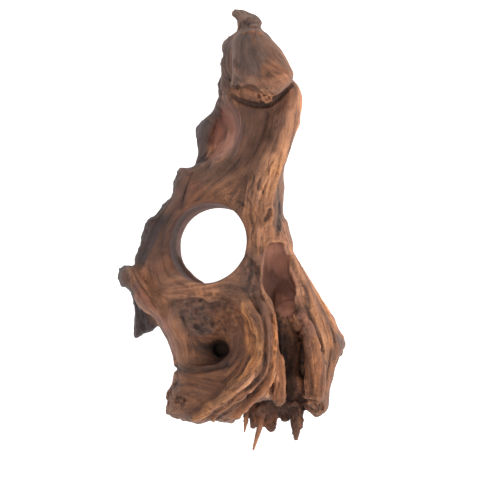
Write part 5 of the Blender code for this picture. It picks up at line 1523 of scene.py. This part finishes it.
@dataclass
class RootFlare(SubAssembly):
    """The lower right lobe: a rounded column beside a thin plate, with the blind pocket above them."""

    name: str = "root_flare_wood"
    node: str = "root_flare"
    slot: str = "flare_wood"
    top: float = -4.0
    left: float = 20.0
    lobes: Sequence[Lobe] = (
        Lobe(
            [(24, 2), (36, 8), (40, -3), (41.8, -10), (41.2, -13.4), (44.5, -19), (52, -31), (60, -44),
             (67, -56), (72, -66), (76.6, -75), (77.8, -79), (74.6, -85.4), (71.4, -91), (69, -101),
             (66.4, -112), (65.2, -122), (62, -126), (57, -128), (53, -124.4), (48.6, -120), (49, -110),
             (51, -96), (50, -80), (46, -66), (38, -58), (24, -54), (18, -40), (17, -18)],
            [(32, -12, 8, 61), (44, -30, 6, 62), (26, -40, 2, 64), (40, -54, 0, 64), (54, -46, 4, 58),
             (54, -66, -6, 71), (61, -80, -10, 70), (67, -62, 8, 50), (75, -78, 14, 34), (56, -88, -13, 71),
             (69, -92, 10, 44), (56, -112, 4, 62), (60, -122, 14, 52)],
            edge=14, blend=6,
        ),
    )
    ribs: Sequence[Strand] = (
        Strand([(46, -60, 61, 5.4), (51.6, -70, 63, 6.6), (55.6, -84, 63, 6.6), (57, -98, 61, 6),
                (56.6, -112, 57, 5.4)], 8),
        Strand([(53.4, -92, 59, 4), (52.4, -102, 58, 4.6), (52.4, -113, 56, 4.4)], 4),
    )
    hollows: Sequence[Strand] = (
        groove([(38, -67, 66, 8.5), (39.4, -78, 58, 10), (40.4, -92, 54, 10), (41, -106, 52, 9),
                (41, -122, 52, 8)], 3),
        groove([(42, -78, 40, 5), (44.4, -87, 37, 7), (44, -98, 38, 7), (41, -116, 48, 8)], 4),
        groove([(46, -119, 57, 4), (52.4, -119.4, 58, 5), (58, -120.4, 56, 4)], 1),
        groove([(50, -46, 66, 1.4), (54, -58, 69, 1.8), (58.6, -68, 67, 2), (61, -80, 64, 2),
                (62.5, -94, 60, 1.6)], 1.6),
        groove([(24, -134, -4, 12), (18, -104, -5, 13), (20, -76, -6, 13), (27, -50, -7, 12)], 8),
    )
    bores: Sequence[Bore] = (Bore(9.6, (30.8, -27.0, 66.0), (38.0, -52.0, 50.0), 20, 0),)
    details: Sequence[Strand] = (
        groove([(44.4, -26, 0.6), (47.4, -35, 1.1), (50.4, -43, 1.4), (52, -49, 1.8), (51.4, -53, 1.8)], 1),
        groove([(52, -57, 1.2), (57.6, -67.4, 1.5), (60.6, -79, 1.4), (62.7, -86.4, 1.1),
                (63.5, -93, 0.6)], 0.8),
        Strand([(56.6, -53, 0.7), (58, -56, 0.9), (56.6, -59, 0.7), (55.2, -56, 0.8), (56.6, -53, 0.7)], 0.8),
        groove([(56.6, -54.6, 0.7), (56.4, -57.4, 0.7)], 0.5),
        groove([(48.8, -116, 1), (53.4, -115.4, 1.5), (58.8, -116.8, 1.1)], 1.4),
        Strand([(48.4, -113, 0.9), (53.6, -113, 1.3), (58.8, -114.6, 0.9)], 1),
        groove([(60.4, -104, 0.6), (60.8, -114, 1.1), (61, -124, 0.9)], 1),
        Strand([(38, -102, 30, 5), (44, -104, 32, 4)], 4),
        Strand([(42, -60.4, 50, 3.4), (44.6, -66, 48, 3)], 4),
        Strand([(34, -64, 38, 7), (36, -74, 36, 8), (37.4, -84, 32, 8.4), (38, -94, 27, 7)], 8),
        groove([(64, -56, 0.5), (68.6, -68, 0.9), (70, -80, 0.8)], 1.2),
        groove([(57, -40, 0.4), (64, -54, 0.7), (70, -68, 0.6)], 1),
        groove([(66.6, -74, 0.5), (66.6, -86, 0.9), (64.8, -100, 0.8), (63.6, -110, 0.5)], 1.2),
        groove([(72, -76, 0.4), (70, -88, 0.7), (67, -100, 0.5)], 1),
        groove([(53.6, -76, 0.5), (55.6, -86, 0.9), (55.4, -98, 0.8)], 1.2),
        groove([(52.4, -96, 0.5), (53.4, -104, 0.8), (53, -111, 0.6)], 1),
        groove([(56.6, -94, 0.5), (57.4, -103, 0.8), (57.2, -111, 0.6)], 1),
        groove([(45.6, -18, 0.4), (49, -28, 0.7), (54, -38, 0.6)], 1),
    )
    specks: Sequence[Specks] = (
        Specks(49.6, -64, 5.4, 26, 0.5), Specks(49.6, -66, 5.4, 18, 0.6, Tool.ADD),
        Specks(55, -80, 5, 10, 0.5), Specks(55.4, -119.6, 3.4, 14, 0.6),
    )
    rims: Sequence[Strand] = (
        Strand([(40.6, -19, 57, 2.4), (43, -24, 57, 3.6), (45.6, -31, 57, 4.4), (49, -38.6, 56, 4.6),
                (51.4, -46, 56, 5), (51.8, -53, 57, 4.4)], 4),
        groove([(29.4, -16, 60, 7.6), (29.2, -25, 58, 9.2), (28, -34, 59, 9.6), (30.4, -42, 60, 9.6),
                (34, -48, 57, 9), (36.6, -51, 53, 9)], 1.2),
        groove([(29.4, -16, 60, 7.6), (31.6, -16, 60, 7.4), (33, -24, 58, 6)], 0.8),
        Strand([(24.6, -8.2, 0.7), (22, -13, 0.9), (21, -20, 1), (20, -28, 1), (19.2, -34.6, 1.1),
                (21, -41, 1.1), (23, -47, 1.1), (26, -52, 1), (28.4, -58, 0.9)], 0.8, sink=0.2),
        Strand([(25, -8, 0.6), (31, -7.6, 0.9), (37, -8.6, 0.7)], 0.8, sink=0.3),
        Strand([(39.2, -15, 0.7), (39.2, -22, 0.8), (40.4, -32, 0.9), (43.8, -40.6, 0.9), (46, -47, 0.9),
                (46.6, -52, 0.8)], 0.8, sink=0.2),
    )
    fibres: Sequence[Sequence[Row]] = (
        [(38, -2), (44, -16), (56, -36), (68, -58), (76, -76)],
        [(42, -12), (50, -32), (60, -52), (66, -70), (66, -95), (63, -120)],
        [(42, -56), (50, -66), (55, -84), (56, -104), (55, -124)],
        [(36, -66), (38, -90), (40, -116)],
    )
    swirls: Sequence[Swirl] = (Swirl(50, -65, 8, 0.8),)
    patches: Sequence[Patch] = (
        Feel.CRUMBLED([(47, -60, 60, 4), (50, -68, 62, 4)]),
        Feel.CRUMBLED([(52, -122, 50, 5), (60, -124, 48, 4)], 4, 2),
        Feel.CRUMBLED([(36, -66, 42, 9), (40, -96, 36, 10)], 8, 0.8),
        Feel.CRUMBLED([(54, -76, 62, 5), (56, -96, 60, 5), (55, -110, 56, 5)], 4, 0.5),
        Feel.CRUMBLED([(76, -76, 24, 4), (76, -82, 24, 4)]),
        Feel.SAWN([(30, -17, 58, 8), (29.4, -25, 57, 9.4), (28.2, -34, 58, 10), (30.8, -42, 58, 10.2),
                   (34.4, -48, 54, 9.8), (36.6, -51, 51, 9.6)], 0.8),
        Feel.RUGGED([(50, -34, 4), (58, -48, 5), (66, -64, 6), (67, -84, 5), (64, -104, 5)], 6, 0.3),
        Feel.RUGGED([(54, -92, 4), (54, -110, 5)], 4, 0.9),
        Tone.AMBER([(58, -60, 50, 14), (60, -104, 50, 16)], 8, 0.9),
        Tone.GOLD([(43, -15, 2), (50, -28, 3), (58, -42, 4), (65, -55, 4), (70, -66, 3)], 5, 0.75),
        # Painted light on the pocket's right wall, which faces away from the key lamp.
        Tone.GOLD([(41, -15, 50, 2), (43, -24, 52, 2.4), (45, -34, 52, 3), (47, -43, 54, 3),
                   (48, -49, 56, 2)], 4, 0.9),
        # Painted light on the pocket's right rim.
        Tone.PALE([(42, -18, 2), (44, -28, 2.4), (48, -38, 2.4), (50, -46, 2)], 3, 0.7),
        # Painted light on the flare's right edge, where it faces the key lamp.
        Tone.GOLD_AND_PAINTED_LIGHT([(43, -15, 42, 4), (51, -30, 40, 5), (60, -43, 38, 5), (67, -56, 34, 5),
                    (73, -68, 30, 4)], 5, 0.6),
        Tone.TAN([(47.6, -106, 1), (49, -113, 1.6)], 2.4, 0.8),
        Tone.AMBER([(53, -76, 62, 6), (55, -94, 60, 6), (54, -110, 56, 5)], 5, 0.6),
        Tone.ORANGE([(54, -78, 3), (56, -90, 4), (55, -104, 4), (54, -111, 3)], 5, 0.4),
        Tone.AMBER([(58, -50, 3), (64, -64, 6), (67, -80, 6), (64, -98, 6)], 6, 0.4),
        Tone.GOLD([(56, -50, 3), (60, -60, 4), (64, -72, 4), (63, -88, 3)], 5, 0.5),
        # Painted highlight along the column's crest.
        Tone.GOLD_AND_PAINTED_LIGHT([(48.6, -58, 0.6), (52.2, -66, 0.8), (54.6, -76, 0.8), (56, -88, 0.6)], 1.2, 0.6),
        Tone.DUSK([(46.6, -56, 2.6), (49.4, -63, 3.6), (51, -70, 2.6)], 3, 0.7),
        Tone.ROSE([(48, -60, 3), (50, -68, 3)], 4, 0.5),
        Tone.SLATE([(72, -74, 2), (75, -78, 2)], 4, 0.5),
        Tone.BARK([(77, -77, 1.4), (77.6, -79, 1)], 1.6, 0.9),
        # Painted shade in the groove at the column's foot.
        Tone.PAINTED_SHADE([(50, -120.6, 52, 3), (55, -120.8, 52, 3.4), (59, -121.4, 52, 2)], 3, 0.25),
        Tone.PALE([(48, -114, 1.2), (53, -115, 2), (58, -116.4, 1.4)], 2, 0.9),
        # Painted shade in the cracks.
        Tone.PAINTED_SHADE([(45, -28, 0.4), (48, -37, 0.6), (51, -46, 1), (51.6, -52, 1.4)], 1.2, 0.75),
        Tone.PAINTED_SHADE([(52, -56, 0.8), (57.6, -67.4, 1), (60.6, -79, 0.9), (63.3, -92, 0.5)], 1, 0.7),
        Tone.UMBER([(42, -84, 34, 10), (42, -104, 42, 9), (42, -118, 44, 9)], 5, 0.9),
        # Painted shade inside the pocket, darkest on its left wall.
        Tone.UMBER([(30, -30, 4), (32, -40, 5), (34, -46, 4)], 8, 0.6),
        Tone.RUST([(26, -31, 56, 7), (29, -38, 54, 9), (33, -44, 52, 8)], 6, 0.75),
        Tone.PAINTED_SHADE([(25, -34, 56, 8), (30, -40, 52, 9)], 6, 0.25),
        Tone.PALE([(38.6, -14, 0.4), (38.8, -22, 0.4), (40.4, -32, 0.5), (44.6, -40.6, 0.5),
                   (46.4, -47, 0.5)], 0.9, 0.6),
        Tone.PALE([(24.6, -8.6, 0.4), (21.6, -20, 0.4), (19.2, -34.6, 0.5), (23.6, -47, 0.5),
                   (28.4, -58, 0.4)], 0.9, 0.7),
        Tone.PALE([(25, -8.4, 0.4), (31, -8, 0.5), (37, -9, 0.4)], 1.2, 0.7),
        # Painted light on the pocket's end and its lower lip.
        Tone.TAN([(36, -52, 46, 6), (40, -57, 52, 6)]),
        Tone.PAINTED_LIGHT([(30, -57, 47, 3), (37, -58.6, 46, 3.4), (43, -56, 47, 3)], 3, 0.75),
        # Painted light on the strip along the pocket's right rim.
        Tone.PAINTED_LIGHT([(38.4, -12, 1.6), (40.4, -19, 2.4), (41.4, -26, 2.6), (42.8, -34, 2.8),
                    (45, -41, 2.4)], 2.4, 0.85),
        # Painted light on the pocket's upper wall.
        Tone.PALE([(30, -14, 56, 6), (31, -20, 52, 5)], 5, 0.6),
        # Painted light on the ledge under the pocket.
        Tone.PAINTED_LIGHT([(33, -55, 1.4), (38, -57.6, 1.6), (43, -61, 1.6), (45, -66, 1)], 2.4, 0.8),
        Tone.UMBER([(32.6, -72, 1), (33, -84, 1)], 2, 0.8),
        # Painted light down the column's left side.
        Tone.PAINTED_LIGHT([(48.4, -94, 1.2), (48.6, -104, 1.6), (49.4, -112, 2)], 2.4, 0.6),
        Tone.TAN([(45, -70, 2.4), (46, -78, 2)], 2.4, 0.8),
        Tone.UMBER([(50.4, -74, 1.4), (51, -82, 1.6), (50.4, -90, 1.2)], 2.4, 0.8),
        Tone.TAN([(45, -92, 1.4), (46, -102, 1.6), (47, -110, 1.6)], 2.4, 0.7),
        # Painted shade in the channel between the lobes.
        Tone.PAINTED_SHADE([(33, -74, 42, 4), (34, -84, 38, 6.4), (36, -96, 34, 6.4)], 4, 0.85),
        Tone.PAINTED_SHADE([(32, -74, 50, 1.6), (32.6, -84, 46, 2)], 3, 0.6),
        # Painted shade beside the knob under the pocket.
        Tone.PAINTED_SHADE([(41.4, -64, 1.4), (43.4, -68, 2)], 2, 0.25),
        Tone.UMBER([(52.4, -68, 1.6), (53.6, -76, 2), (52.8, -84, 1.6)], 3, 0.45),
        # Painted light on the pocket's right wall.
        Tone.PALE([(36, -20, 52, 3.4), (37, -29, 50, 3.4)], 3, 0.55),
    )

    def holds(self, x: Array, y: Array, z: Array) -> Array:
        """True right of the channel and below the trunk's right side."""
        return (y < self.top) & (x > self.left)


class Painter:
    """Node-graph helper: each method adds a node and gives its output socket."""

    MIX_INPUTS = (0, 6, 7)  # the share and the two colours among a mixing node's sockets
    MIX_RESULT = 2

    def __init__(self, material: bpy.types.Material) -> None:
        """Takes over the material's node tree."""
        self.tree = material.node_tree
        self.surface = self.tree.nodes["Principled BSDF"]

    def link(self, source: object, socket: bpy.types.NodeSocket) -> None:
        """Feeds a socket.

        Args:
            source: another socket, or a plain value.
            socket: the socket that is fed.
        """
        if isinstance(source, bpy.types.NodeSocket):
            self.tree.links.new(source, socket)
        else:
            socket.default_value = source

    def mark(self, name: str, output: str = "Fac") -> bpy.types.NodeSocket:
        """Reads one of the mesh's marks.

        Args:
            name: the mark's name.
            output: the reading, Fac or Color.

        Returns:
            The reading's socket.
        """
        node = self.tree.nodes.new("ShaderNodeAttribute")
        node.attribute_name = name
        return node.outputs[output]

    def math(self, kind: str, *terms: object) -> bpy.types.NodeSocket:
        """One step of arithmetic.

        Args:
            kind: the operation.
            terms: its terms, sockets or numbers.

        Returns:
            The result's socket.
        """
        node = self.tree.nodes.new("ShaderNodeMath")
        node.operation = kind
        for value, socket in zip(terms, node.inputs):
            self.link(value, socket)
        return node.outputs[0]

    def total(self, base: object, *parts: tuple[object, object]) -> bpy.types.NodeSocket:
        """Adds up weighed values.

        Args:
            base: what the sum starts from, a socket or a number.
            parts: each value with its weight.

        Returns:
            The sum's socket.
        """
        for value, weight in parts:
            base = self.math("MULTIPLY_ADD", value, weight, base)
        return base

    def noise(self, scale: float, detail: float, line: object = None) -> bpy.types.NodeSocket:
        """A noise texture less its mean, in object space or along one number.

        Args:
            scale: how fine it is.
            detail: how many finer layers it has.
            line: if given, the number along which a one-dimensional noise runs.

        Returns:
            The value's socket.
        """
        node = self.tree.nodes.new("ShaderNodeTexNoise")
        if line is not None:
            node.noise_dimensions = "1D"
            self.link(line, node.inputs["W"])
        else:
            place = self.tree.nodes.new("ShaderNodeTexCoord")
            self.tree.links.new(place.outputs["Object"], node.inputs["Vector"])
        node.inputs["Scale"].default_value = scale
        node.inputs["Detail"].default_value = detail
        return self.math("SUBTRACT", node.outputs["Fac"], 0.5)

    def ramp(self, value: object, stops: Sequence[tuple[float, Row]]) -> bpy.types.NodeSocket:
        """Colours picked along a ramp.

        Args:
            value: where on the ramp.
            stops: places and colours.

        Returns:
            The colour's socket.
        """
        node = self.tree.nodes.new("ShaderNodeValToRGB")
        band = node.color_ramp
        while len(band.elements) < len(stops):
            band.elements.new(0.5)
        for element, (place, colour) in zip(band.elements, stops):
            element.position = place
            element.color = (*colour, 1)
        self.link(value, node.inputs["Fac"])
        return node.outputs["Color"]

    def mix(self, share: object, one: object, other: object, kind: str = "MIX") -> bpy.types.NodeSocket:
        """Two colours mixed.

        Args:
            share: how much of the other.
            one: the first colour.
            other: the second colour.
            kind: how they are blended.

        Returns:
            The colour's socket.
        """
        node = self.tree.nodes.new("ShaderNodeMix")
        node.data_type = "RGBA"
        node.blend_type = kind
        for place, value in zip(self.MIX_INPUTS, (share, one, other)):
            self.link(value, node.inputs[place])
        return node.outputs[self.MIX_RESULT]


@dataclass(frozen=True)
class WoodFinish:
    """Dry root wood: its colours from deep grooves to worn crests, which painted light and shade help set,
    and its bored walls.

    Noises are given as scale and detail, and those that follow the fibres as stripes to each unit of flow and
    detail. A pair of weights is a term's weight on plain wood, and what rugged wood adds to it.
    """

    groove: Row = (0.030, 0.016, 0.011)
    shade: Row = (0.095, 0.043, 0.025)
    body: Row = (0.205, 0.092, 0.050)
    light: Row = (0.310, 0.145, 0.078)
    crest: Row = (0.440, 0.225, 0.120)
    stops: Row = (0.05, 0.28, 0.5, 0.72, 1.0)  # where the five colours lie on the scale
    cut: Row = (0.270, 0.122, 0.083)
    cut_shade: Row = (0.150, 0.066, 0.047)
    cut_level: float = 0.6
    cut_clouds: float = 0.9
    cut_lines: float = 0.5
    lines: Row = (5.0, 2.0)
    threads: Row = (13.0, 2.0)
    cracks: Row = (3.1, 1.0)
    crack_onset: float = -1.3
    crack_steepness: float = -9.0
    mottle: Row = (110.0, 4.0)
    clouds: Row = (28.0, 3.0)
    crumbs: Row = (330.0, 3.0)
    grit: Row = (700.0, 3.0)
    level: float = 0.5
    grain_weight: float = 0.07
    line_weights: Row = (0.38, 0.25)
    thread_weights: Row = (0.22, 0.12)
    crack_weights: Row = (-0.14, -0.16)
    mottle_weight: float = 0.35
    cloud_weight: float = 0.40
    crumb_weight: float = 0.8
    # How far the painted light and shade of crests, hollows, creases and cracks move along the colour scale.
    painted_light_and_grain_weight: float = 0.10
    roughness: float = 0.74
    mottle_roughness: float = 0.3
    crest_roughness: float = -0.03
    bump_strength: float = 0.55
    bump_distance: float = 0.0006
    line_bump: float = 0.8
    grit_bump: float = 0.5
    crack_bump: float = -0.8

    def stripes(self, paint: Painter, kind: Row) -> bpy.types.NodeSocket:
        """A noise that runs along the fibres and changes across them."""
        return paint.noise(1.0, kind[1], line=paint.math("MULTIPLY", paint.mark("flow"), kind[0]))

    def by_wear(self, paint: Painter, weights: Row) -> bpy.types.NodeSocket:
        """A weight that depends on how rugged the wood is."""
        return paint.total(weights[0], (paint.mark("wear"), weights[1]))

    def material(self, name: str) -> bpy.types.Material:
        """Builds the finish as a procedural material.

        Args:
            name: the material's name.

        Returns:
            The material.
        """
        material = bpy.data.materials.new(name)
        material.use_nodes = True
        paint = Painter(material)
        surface = paint.surface.inputs
        lines, threads = self.stripes(paint, self.lines), self.stripes(paint, self.threads)
        cracks = self.stripes(paint, self.cracks)
        cracks = paint.total(self.crack_onset, (cracks, self.crack_steepness))
        cracks = paint.math("MINIMUM", paint.math("MAXIMUM", cracks, 0.0), 1.0)
        mottle, clouds = paint.noise(*self.mottle), paint.noise(*self.clouds)
        crumbs = paint.math("MULTIPLY", paint.noise(*self.crumbs), paint.mark("lumps"))
        # The mark that paints light on crests and shade in grooves, creases, cracks and deep hollows, over
        # the fibres' bands.
        painted_light_and_grain = paint.mark("painted_light_and_grain")
        level = paint.total(
            self.level,
            (paint.mark("grain"), self.grain_weight),
            (lines, self.by_wear(paint, self.line_weights)),
            (threads, self.by_wear(paint, self.thread_weights)),
            (cracks, self.by_wear(paint, self.crack_weights)),
            (mottle, self.mottle_weight),
            (clouds, self.cloud_weight),
            (crumbs, self.crumb_weight),
            (painted_light_and_grain, self.painted_light_and_grain_weight),
        )
        colours = (self.groove, self.shade, self.body, self.light, self.crest)
        wood = paint.ramp(level, list(zip(self.stops, colours)))
        bored = paint.total(self.cut_level, (lines, self.cut_lines), (clouds, self.cut_clouds))
        sawn = paint.ramp(bored, [(0.0, self.cut_shade), (1.0, self.cut)])
        either = paint.mix(paint.mark("cut"), wood, sawn)
        paint.link(paint.mix(1.0, either, paint.mark("tint", "Color"), "MULTIPLY"), surface["Base Color"])
        rough = paint.total(self.roughness, (mottle, self.mottle_roughness), (painted_light_and_grain, self.crest_roughness))
        paint.link(rough, surface["Roughness"])
        bump = paint.tree.nodes.new("ShaderNodeBump")
        bump.inputs["Strength"].default_value = self.bump_strength
        bump.inputs["Distance"].default_value = self.bump_distance
        grit = paint.noise(*self.grit)
        height = paint.total(0.0, (grit, self.grit_bump), (lines, self.line_bump), (cracks, self.crack_bump))
        paint.link(height, bump.inputs["Height"])
        paint.link(bump.outputs["Normal"], surface["Normal"])
        return material


@dataclass
class Driftwood:
    """The whole wood: carves the block, finds its skin, marks it, and deals it out.

    Heights, depths and reaches are in millimetres. Shades are amounts of painted light and shade: crests are
    painted lighter, and grooves, creases, cracks and deep hollows darker.
    """

    parts: Sequence[SubAssembly]
    seed: int = 7
    swells: Sequence[Row] = ((13.0, 0.9), (6.0, 0.5))  # size and height of the lumps all over the wood
    crumbs: Sequence[Row] = ((4.2, 1.0), (2.2, 0.7))  # the same of crumbled wood
    combs: Sequence[tuple[float, int]] = ((1.0, 10), (2.6, 18), (8.0, 26), (1.3, 4))  # cells and strides
    wall_edge: float = 1.7
    wall_fade: float = 0.5
    crease_width: float = 0.35
    split_from: float = 3.3
    split_width: float = 0.7
    grain_height: float = 0.05
    band_height: float = 0.07
    crease_depth: float = 0.04
    rugged_gain: float = 0.24  # what rugged wood adds to the bands' height and the creases' depth
    split_depth: float = 0.45
    calm_loss: float = 0.7  # share of the relief that rubbed wood has lost
    calm_grain_loss: float = 0.4
    near_reach: float = 2.6
    wide_reach: float = 9.0
    # How strongly crests are painted lighter, and bands, hollows, creases and cracks painted darker.
    crest_shade: float = 8.0
    band_shade: float = 0.5
    hollow_from: float = 0.55
    hollow_gain: float = 3.0
    hollow_shade: float = 1.5
    crease_shade: float = 1.6
    crease_floor: float = 0.25  # share of a crease's shade on wood that isn't rugged
    split_shade: float = 4.0

    def each(self, kind: str) -> Iterator[Any]:
        """Goes through one kind of shape, part by part."""
        for part in self.parts:
            yield from getattr(part, kind)

    def carve(self) -> Block:
        """Carves all the sub-assemblies' shapes.

        Returns:
            The carved block.
        """
        block = Block(BLOCK_LOW, BLOCK_HIGH, STEP)
        rng = np.random.default_rng(self.seed)
        for kind in ("lobes", "ribs", "hollows"):
            for shape in self.each(kind):
                shape.apply(block)
        for cell, height in self.swells:
            block.field += height * block.noise(cell, rng)
        for splinter in self.each("splinters"):
            splinter.apply(block)
        block.survey()
        crumbs = sum(height * block.noise(cell, rng) for cell, height in self.crumbs)
        for patch in self.each("patches"):
            if patch.kind is Feel.CRUMBLED:
                patch.crumble(block, crumbs)
        block.survey()
        for detail in self.each("details"):
            detail.apply(block)
        for specks in self.each("specks"):
            specks.apply(block, rng)
        for bore in self.each("bores"):
            bore.apply(block)
        block.survey()
        for rim in self.each("rims"):
            rim.apply(block)
        block.field = np.maximum(block.field, -block.axes[2][None, None, :])
        block.survey()
        return block

    def strongest(self, kind: Feel, points: Array, block: Block, ragged: Array) -> Array:
        """How strongly each point has a feel, by the strongest of the patches there.

        Args:
            kind: the feel.
            points: the places.
            block: the wood.
            ragged: noise combed along the fibres.

        Returns:
            One value for each point.
        """
        found = np.zeros(len(points))
        for patch in self.each("patches"):
            if patch.kind is kind:
                found = np.maximum(found, patch.amount(points, block, ragged))
        return found

    def tinted(self, points: Array, block: Block, ragged: Array) -> tuple[Array, Array]:
        """Lays the hues and the painted light and shade on, one patch over another.

        Args:
            points: the places.
            block: the wood.
            ragged: noise combed along the fibres.

        Returns:
            The tint of each point, and how much of it is bark.
        """
        tint = np.ones((len(points), 3))
        bark = np.zeros(len(points))
        for patch in self.each("patches"):
            if isinstance(patch.kind, Tone):
                share = patch.amount(points, block, ragged)
                tint += share[:, None] * (np.array(patch.kind.value) - tint)
                if patch.kind is Tone.BARK:
                    bark = np.maximum(bark, share)
        return tint, bark

    def mark(self, block: Block, skin: Skin) -> None:
        """Raises the fibres on the skin, and lays on its marks, painted light and shade among them.

        Args:
            block: the carved wood.
            skin: its surface, changed in place.
        """
        rng = np.random.default_rng(self.seed + 1)
        skin.settle_normals()
        points = skin.points
        bored = np.zeros(len(points))
        for bore in self.each("bores"):
            off_wall = np.abs(bore.distance(*points.T))
            bored = np.maximum(bored, eased(self.wall_edge - off_wall / self.wall_fade))
        fibres = Fibres(list(self.each("fibres")), list(self.each("swirls")), block)
        noises = [(block.noise(cell, rng), strides) for cell, strides in self.combs]
        grain, bands, flow, checks = fibres.comb(points, noises)
        # The tint holds the hues, with the painted light and shade of many patches.
        tint, bark = self.tinted(points, block, bands)
        bored = np.maximum(bored, self.strongest(Feel.SAWN, points, block, bands))
        bored *= 1 - eased(bark * 2)
        rugged = self.strongest(Feel.RUGGED, points, block, bands)
        calm = self.strongest(Feel.CALM, points, block, bands)
        crease = np.exp(-((bands / self.crease_width) ** 2))
        split = eased((checks - self.split_from) / self.split_width)
        rise = self.grain_height * grain + (self.band_height + self.rugged_gain * rugged) * bands
        rise = rise - (self.crease_depth + self.rugged_gain * rugged) * crease - self.split_depth * split
        rise *= (1 - bored) * (1 - self.calm_loss * calm)
        near, wide = (crowding(block, reach, points) for reach in (self.near_reach, self.wide_reach))
        skin.points = points + rise[:, None] * skin.normals
        skin.points[:, 2] = np.maximum(skin.points[:, 2], 0)
        skin.settle_normals()
        # Painted highlight on crests and painted shade in hollows, by how much wood lies round each point,
        # over the fibres' bands; then painted shade in deep hollows.
        painted_light_and_grain = skin.soften((0.5 - near) * self.crest_shade) + self.band_shade * bands
        painted_light_and_grain -= eased((wide - self.hollow_from) * self.hollow_gain) * self.hollow_shade
        # Painted shade in the fibres' creases and in the cracks.
        creased = (self.crease_floor + (1 - self.crease_floor) * rugged) * (1 - calm) * crease
        skin.marks = {
            "cut": bored,
            "tint": np.column_stack([tint, np.ones(len(points))]),
            "grain": grain * (1 - self.calm_grain_loss * calm),
            "flow": flow,
            "wear": rugged - calm,
            "lumps": self.strongest(Feel.CRUMBLED, points, block, bands),
            "painted_light_and_grain": painted_light_and_grain - self.crease_shade * creased - self.split_shade * split,
        }

    def build(self, finish: WoodFinish) -> None:
        """Makes and dresses all the pieces.

        Args:
            finish: the wood's finish.
        """
        block = self.carve()
        skin = skin_of(block, self.parts)
        self.mark(block, skin)
        for number, part in enumerate(self.parts, start=1):
            part.dress(part.build(skin, number), finish)


@dataclass(frozen=True)
class Lamp:
    """A soft square lamp that faces the wood."""

    name: str
    place: Row
    size: float
    power: float
    colour: Row

    def build(self, aim: Vector) -> None:
        """Adds the lamp.

        Args:
            aim: the place that it faces.
        """
        light = bpy.data.lights.new(self.name, "AREA")
        light.shape = "SQUARE"
        light.size = self.size
        light.energy = self.power
        light.color = self.colour
        stand = bpy.data.objects.new(self.name, light)
        stand.location = self.place
        stand.rotation_mode = "QUATERNION"
        stand.rotation_quaternion = (Vector(self.place) - aim).to_track_quat("Z", "Y")
        bpy.context.scene.collection.objects.link(stand)


@dataclass
class Studio:
    """A plain pale floor, soft light, and a camera that looks straight down as the photograph does."""

    picture_width: float = 0.34
    centre: Row = (0.01224, -0.0136, 0.045)
    distance: float = 3.0
    sensor: float = 36.0
    floor_side: float = 8.0
    floor_drop: float = 0.0005
    floor_grey: float = 0.8
    floor_roughness: float = 0.9
    floor_glow: float = 0.95
    sky: Row = (0.80, 0.88, 1, 1)
    sky_strength: float = 0.44
    aim: Row = (0, 0, 0.04)
    lamps: Sequence[Lamp] = (
        Lamp("key", (1.18, -0.06, 0.78), 0.5, 11.5, (1, 0.93, 0.86)),
        Lamp("top", (-0.12, -0.21, 1.42), 0.6, 8, (1, 0.96, 0.93)),
    )

    def lay_floor(self) -> None:
        """Makes the floor."""
        mesh = bpy.data.meshes.new("floor")
        side = self.floor_side / 2
        corners = [(x * side, y * side, -self.floor_drop) for x, y in ((-1, -1), (1, -1), (1, 1), (-1, 1))]
        mesh.from_pydata(corners, [], [(0, 1, 2, 3)])
        floor = bpy.data.objects.new("floor", mesh)
        bpy.context.scene.collection.objects.link(floor)
        material = bpy.data.materials.new("pale_floor")
        material.use_nodes = True
        surface = material.node_tree.nodes["Principled BSDF"].inputs
        surface["Base Color"].default_value = (self.floor_grey, self.floor_grey, self.floor_grey, 1)
        surface["Roughness"].default_value = self.floor_roughness
        surface["Specular IOR Level"].default_value = 0.0
        surface["Emission Color"].default_value = (1, 1, 1, 1)
        surface["Emission Strength"].default_value = self.floor_glow
        mesh.materials.append(material)

    def hang_sky(self) -> None:
        """Makes the world's even light."""
        world = bpy.data.worlds.new("studio")
        bpy.context.scene.world = world
        world.use_nodes = True
        background = world.node_tree.nodes["Background"].inputs
        background["Color"].default_value = self.sky
        background["Strength"].default_value = self.sky_strength

    def set_camera(self) -> None:
        """Makes the camera."""
        camera = bpy.data.cameras.new("camera")
        camera.sensor_width = self.sensor
        camera.lens = self.sensor * self.distance / self.picture_width
        eye = bpy.data.objects.new("camera", camera)
        eye.location = Vector(self.centre) + Vector((0, 0, self.distance))
        bpy.context.scene.collection.objects.link(eye)
        bpy.context.scene.camera = eye

    def build(self) -> None:
        """Makes the floor, the sky, the lamps and the camera."""
        bpy.context.scene.view_settings.view_transform = "Standard"
        self.lay_floor()
        self.hang_sky()
        for lamp in self.lamps:
            lamp.build(Vector(self.aim))
        self.set_camera()


def main() -> None:
    """Builds the wood and the studio."""
    parts = [HeadBurl(), Neck(), BrokenRoots(), SideSpur(), Chin(), CupLobe(), RootFlare(), Shoulder()]
    Driftwood(parts).build(WoodFinish())
    Studio().build()


if __name__ == "__main__":
    main()
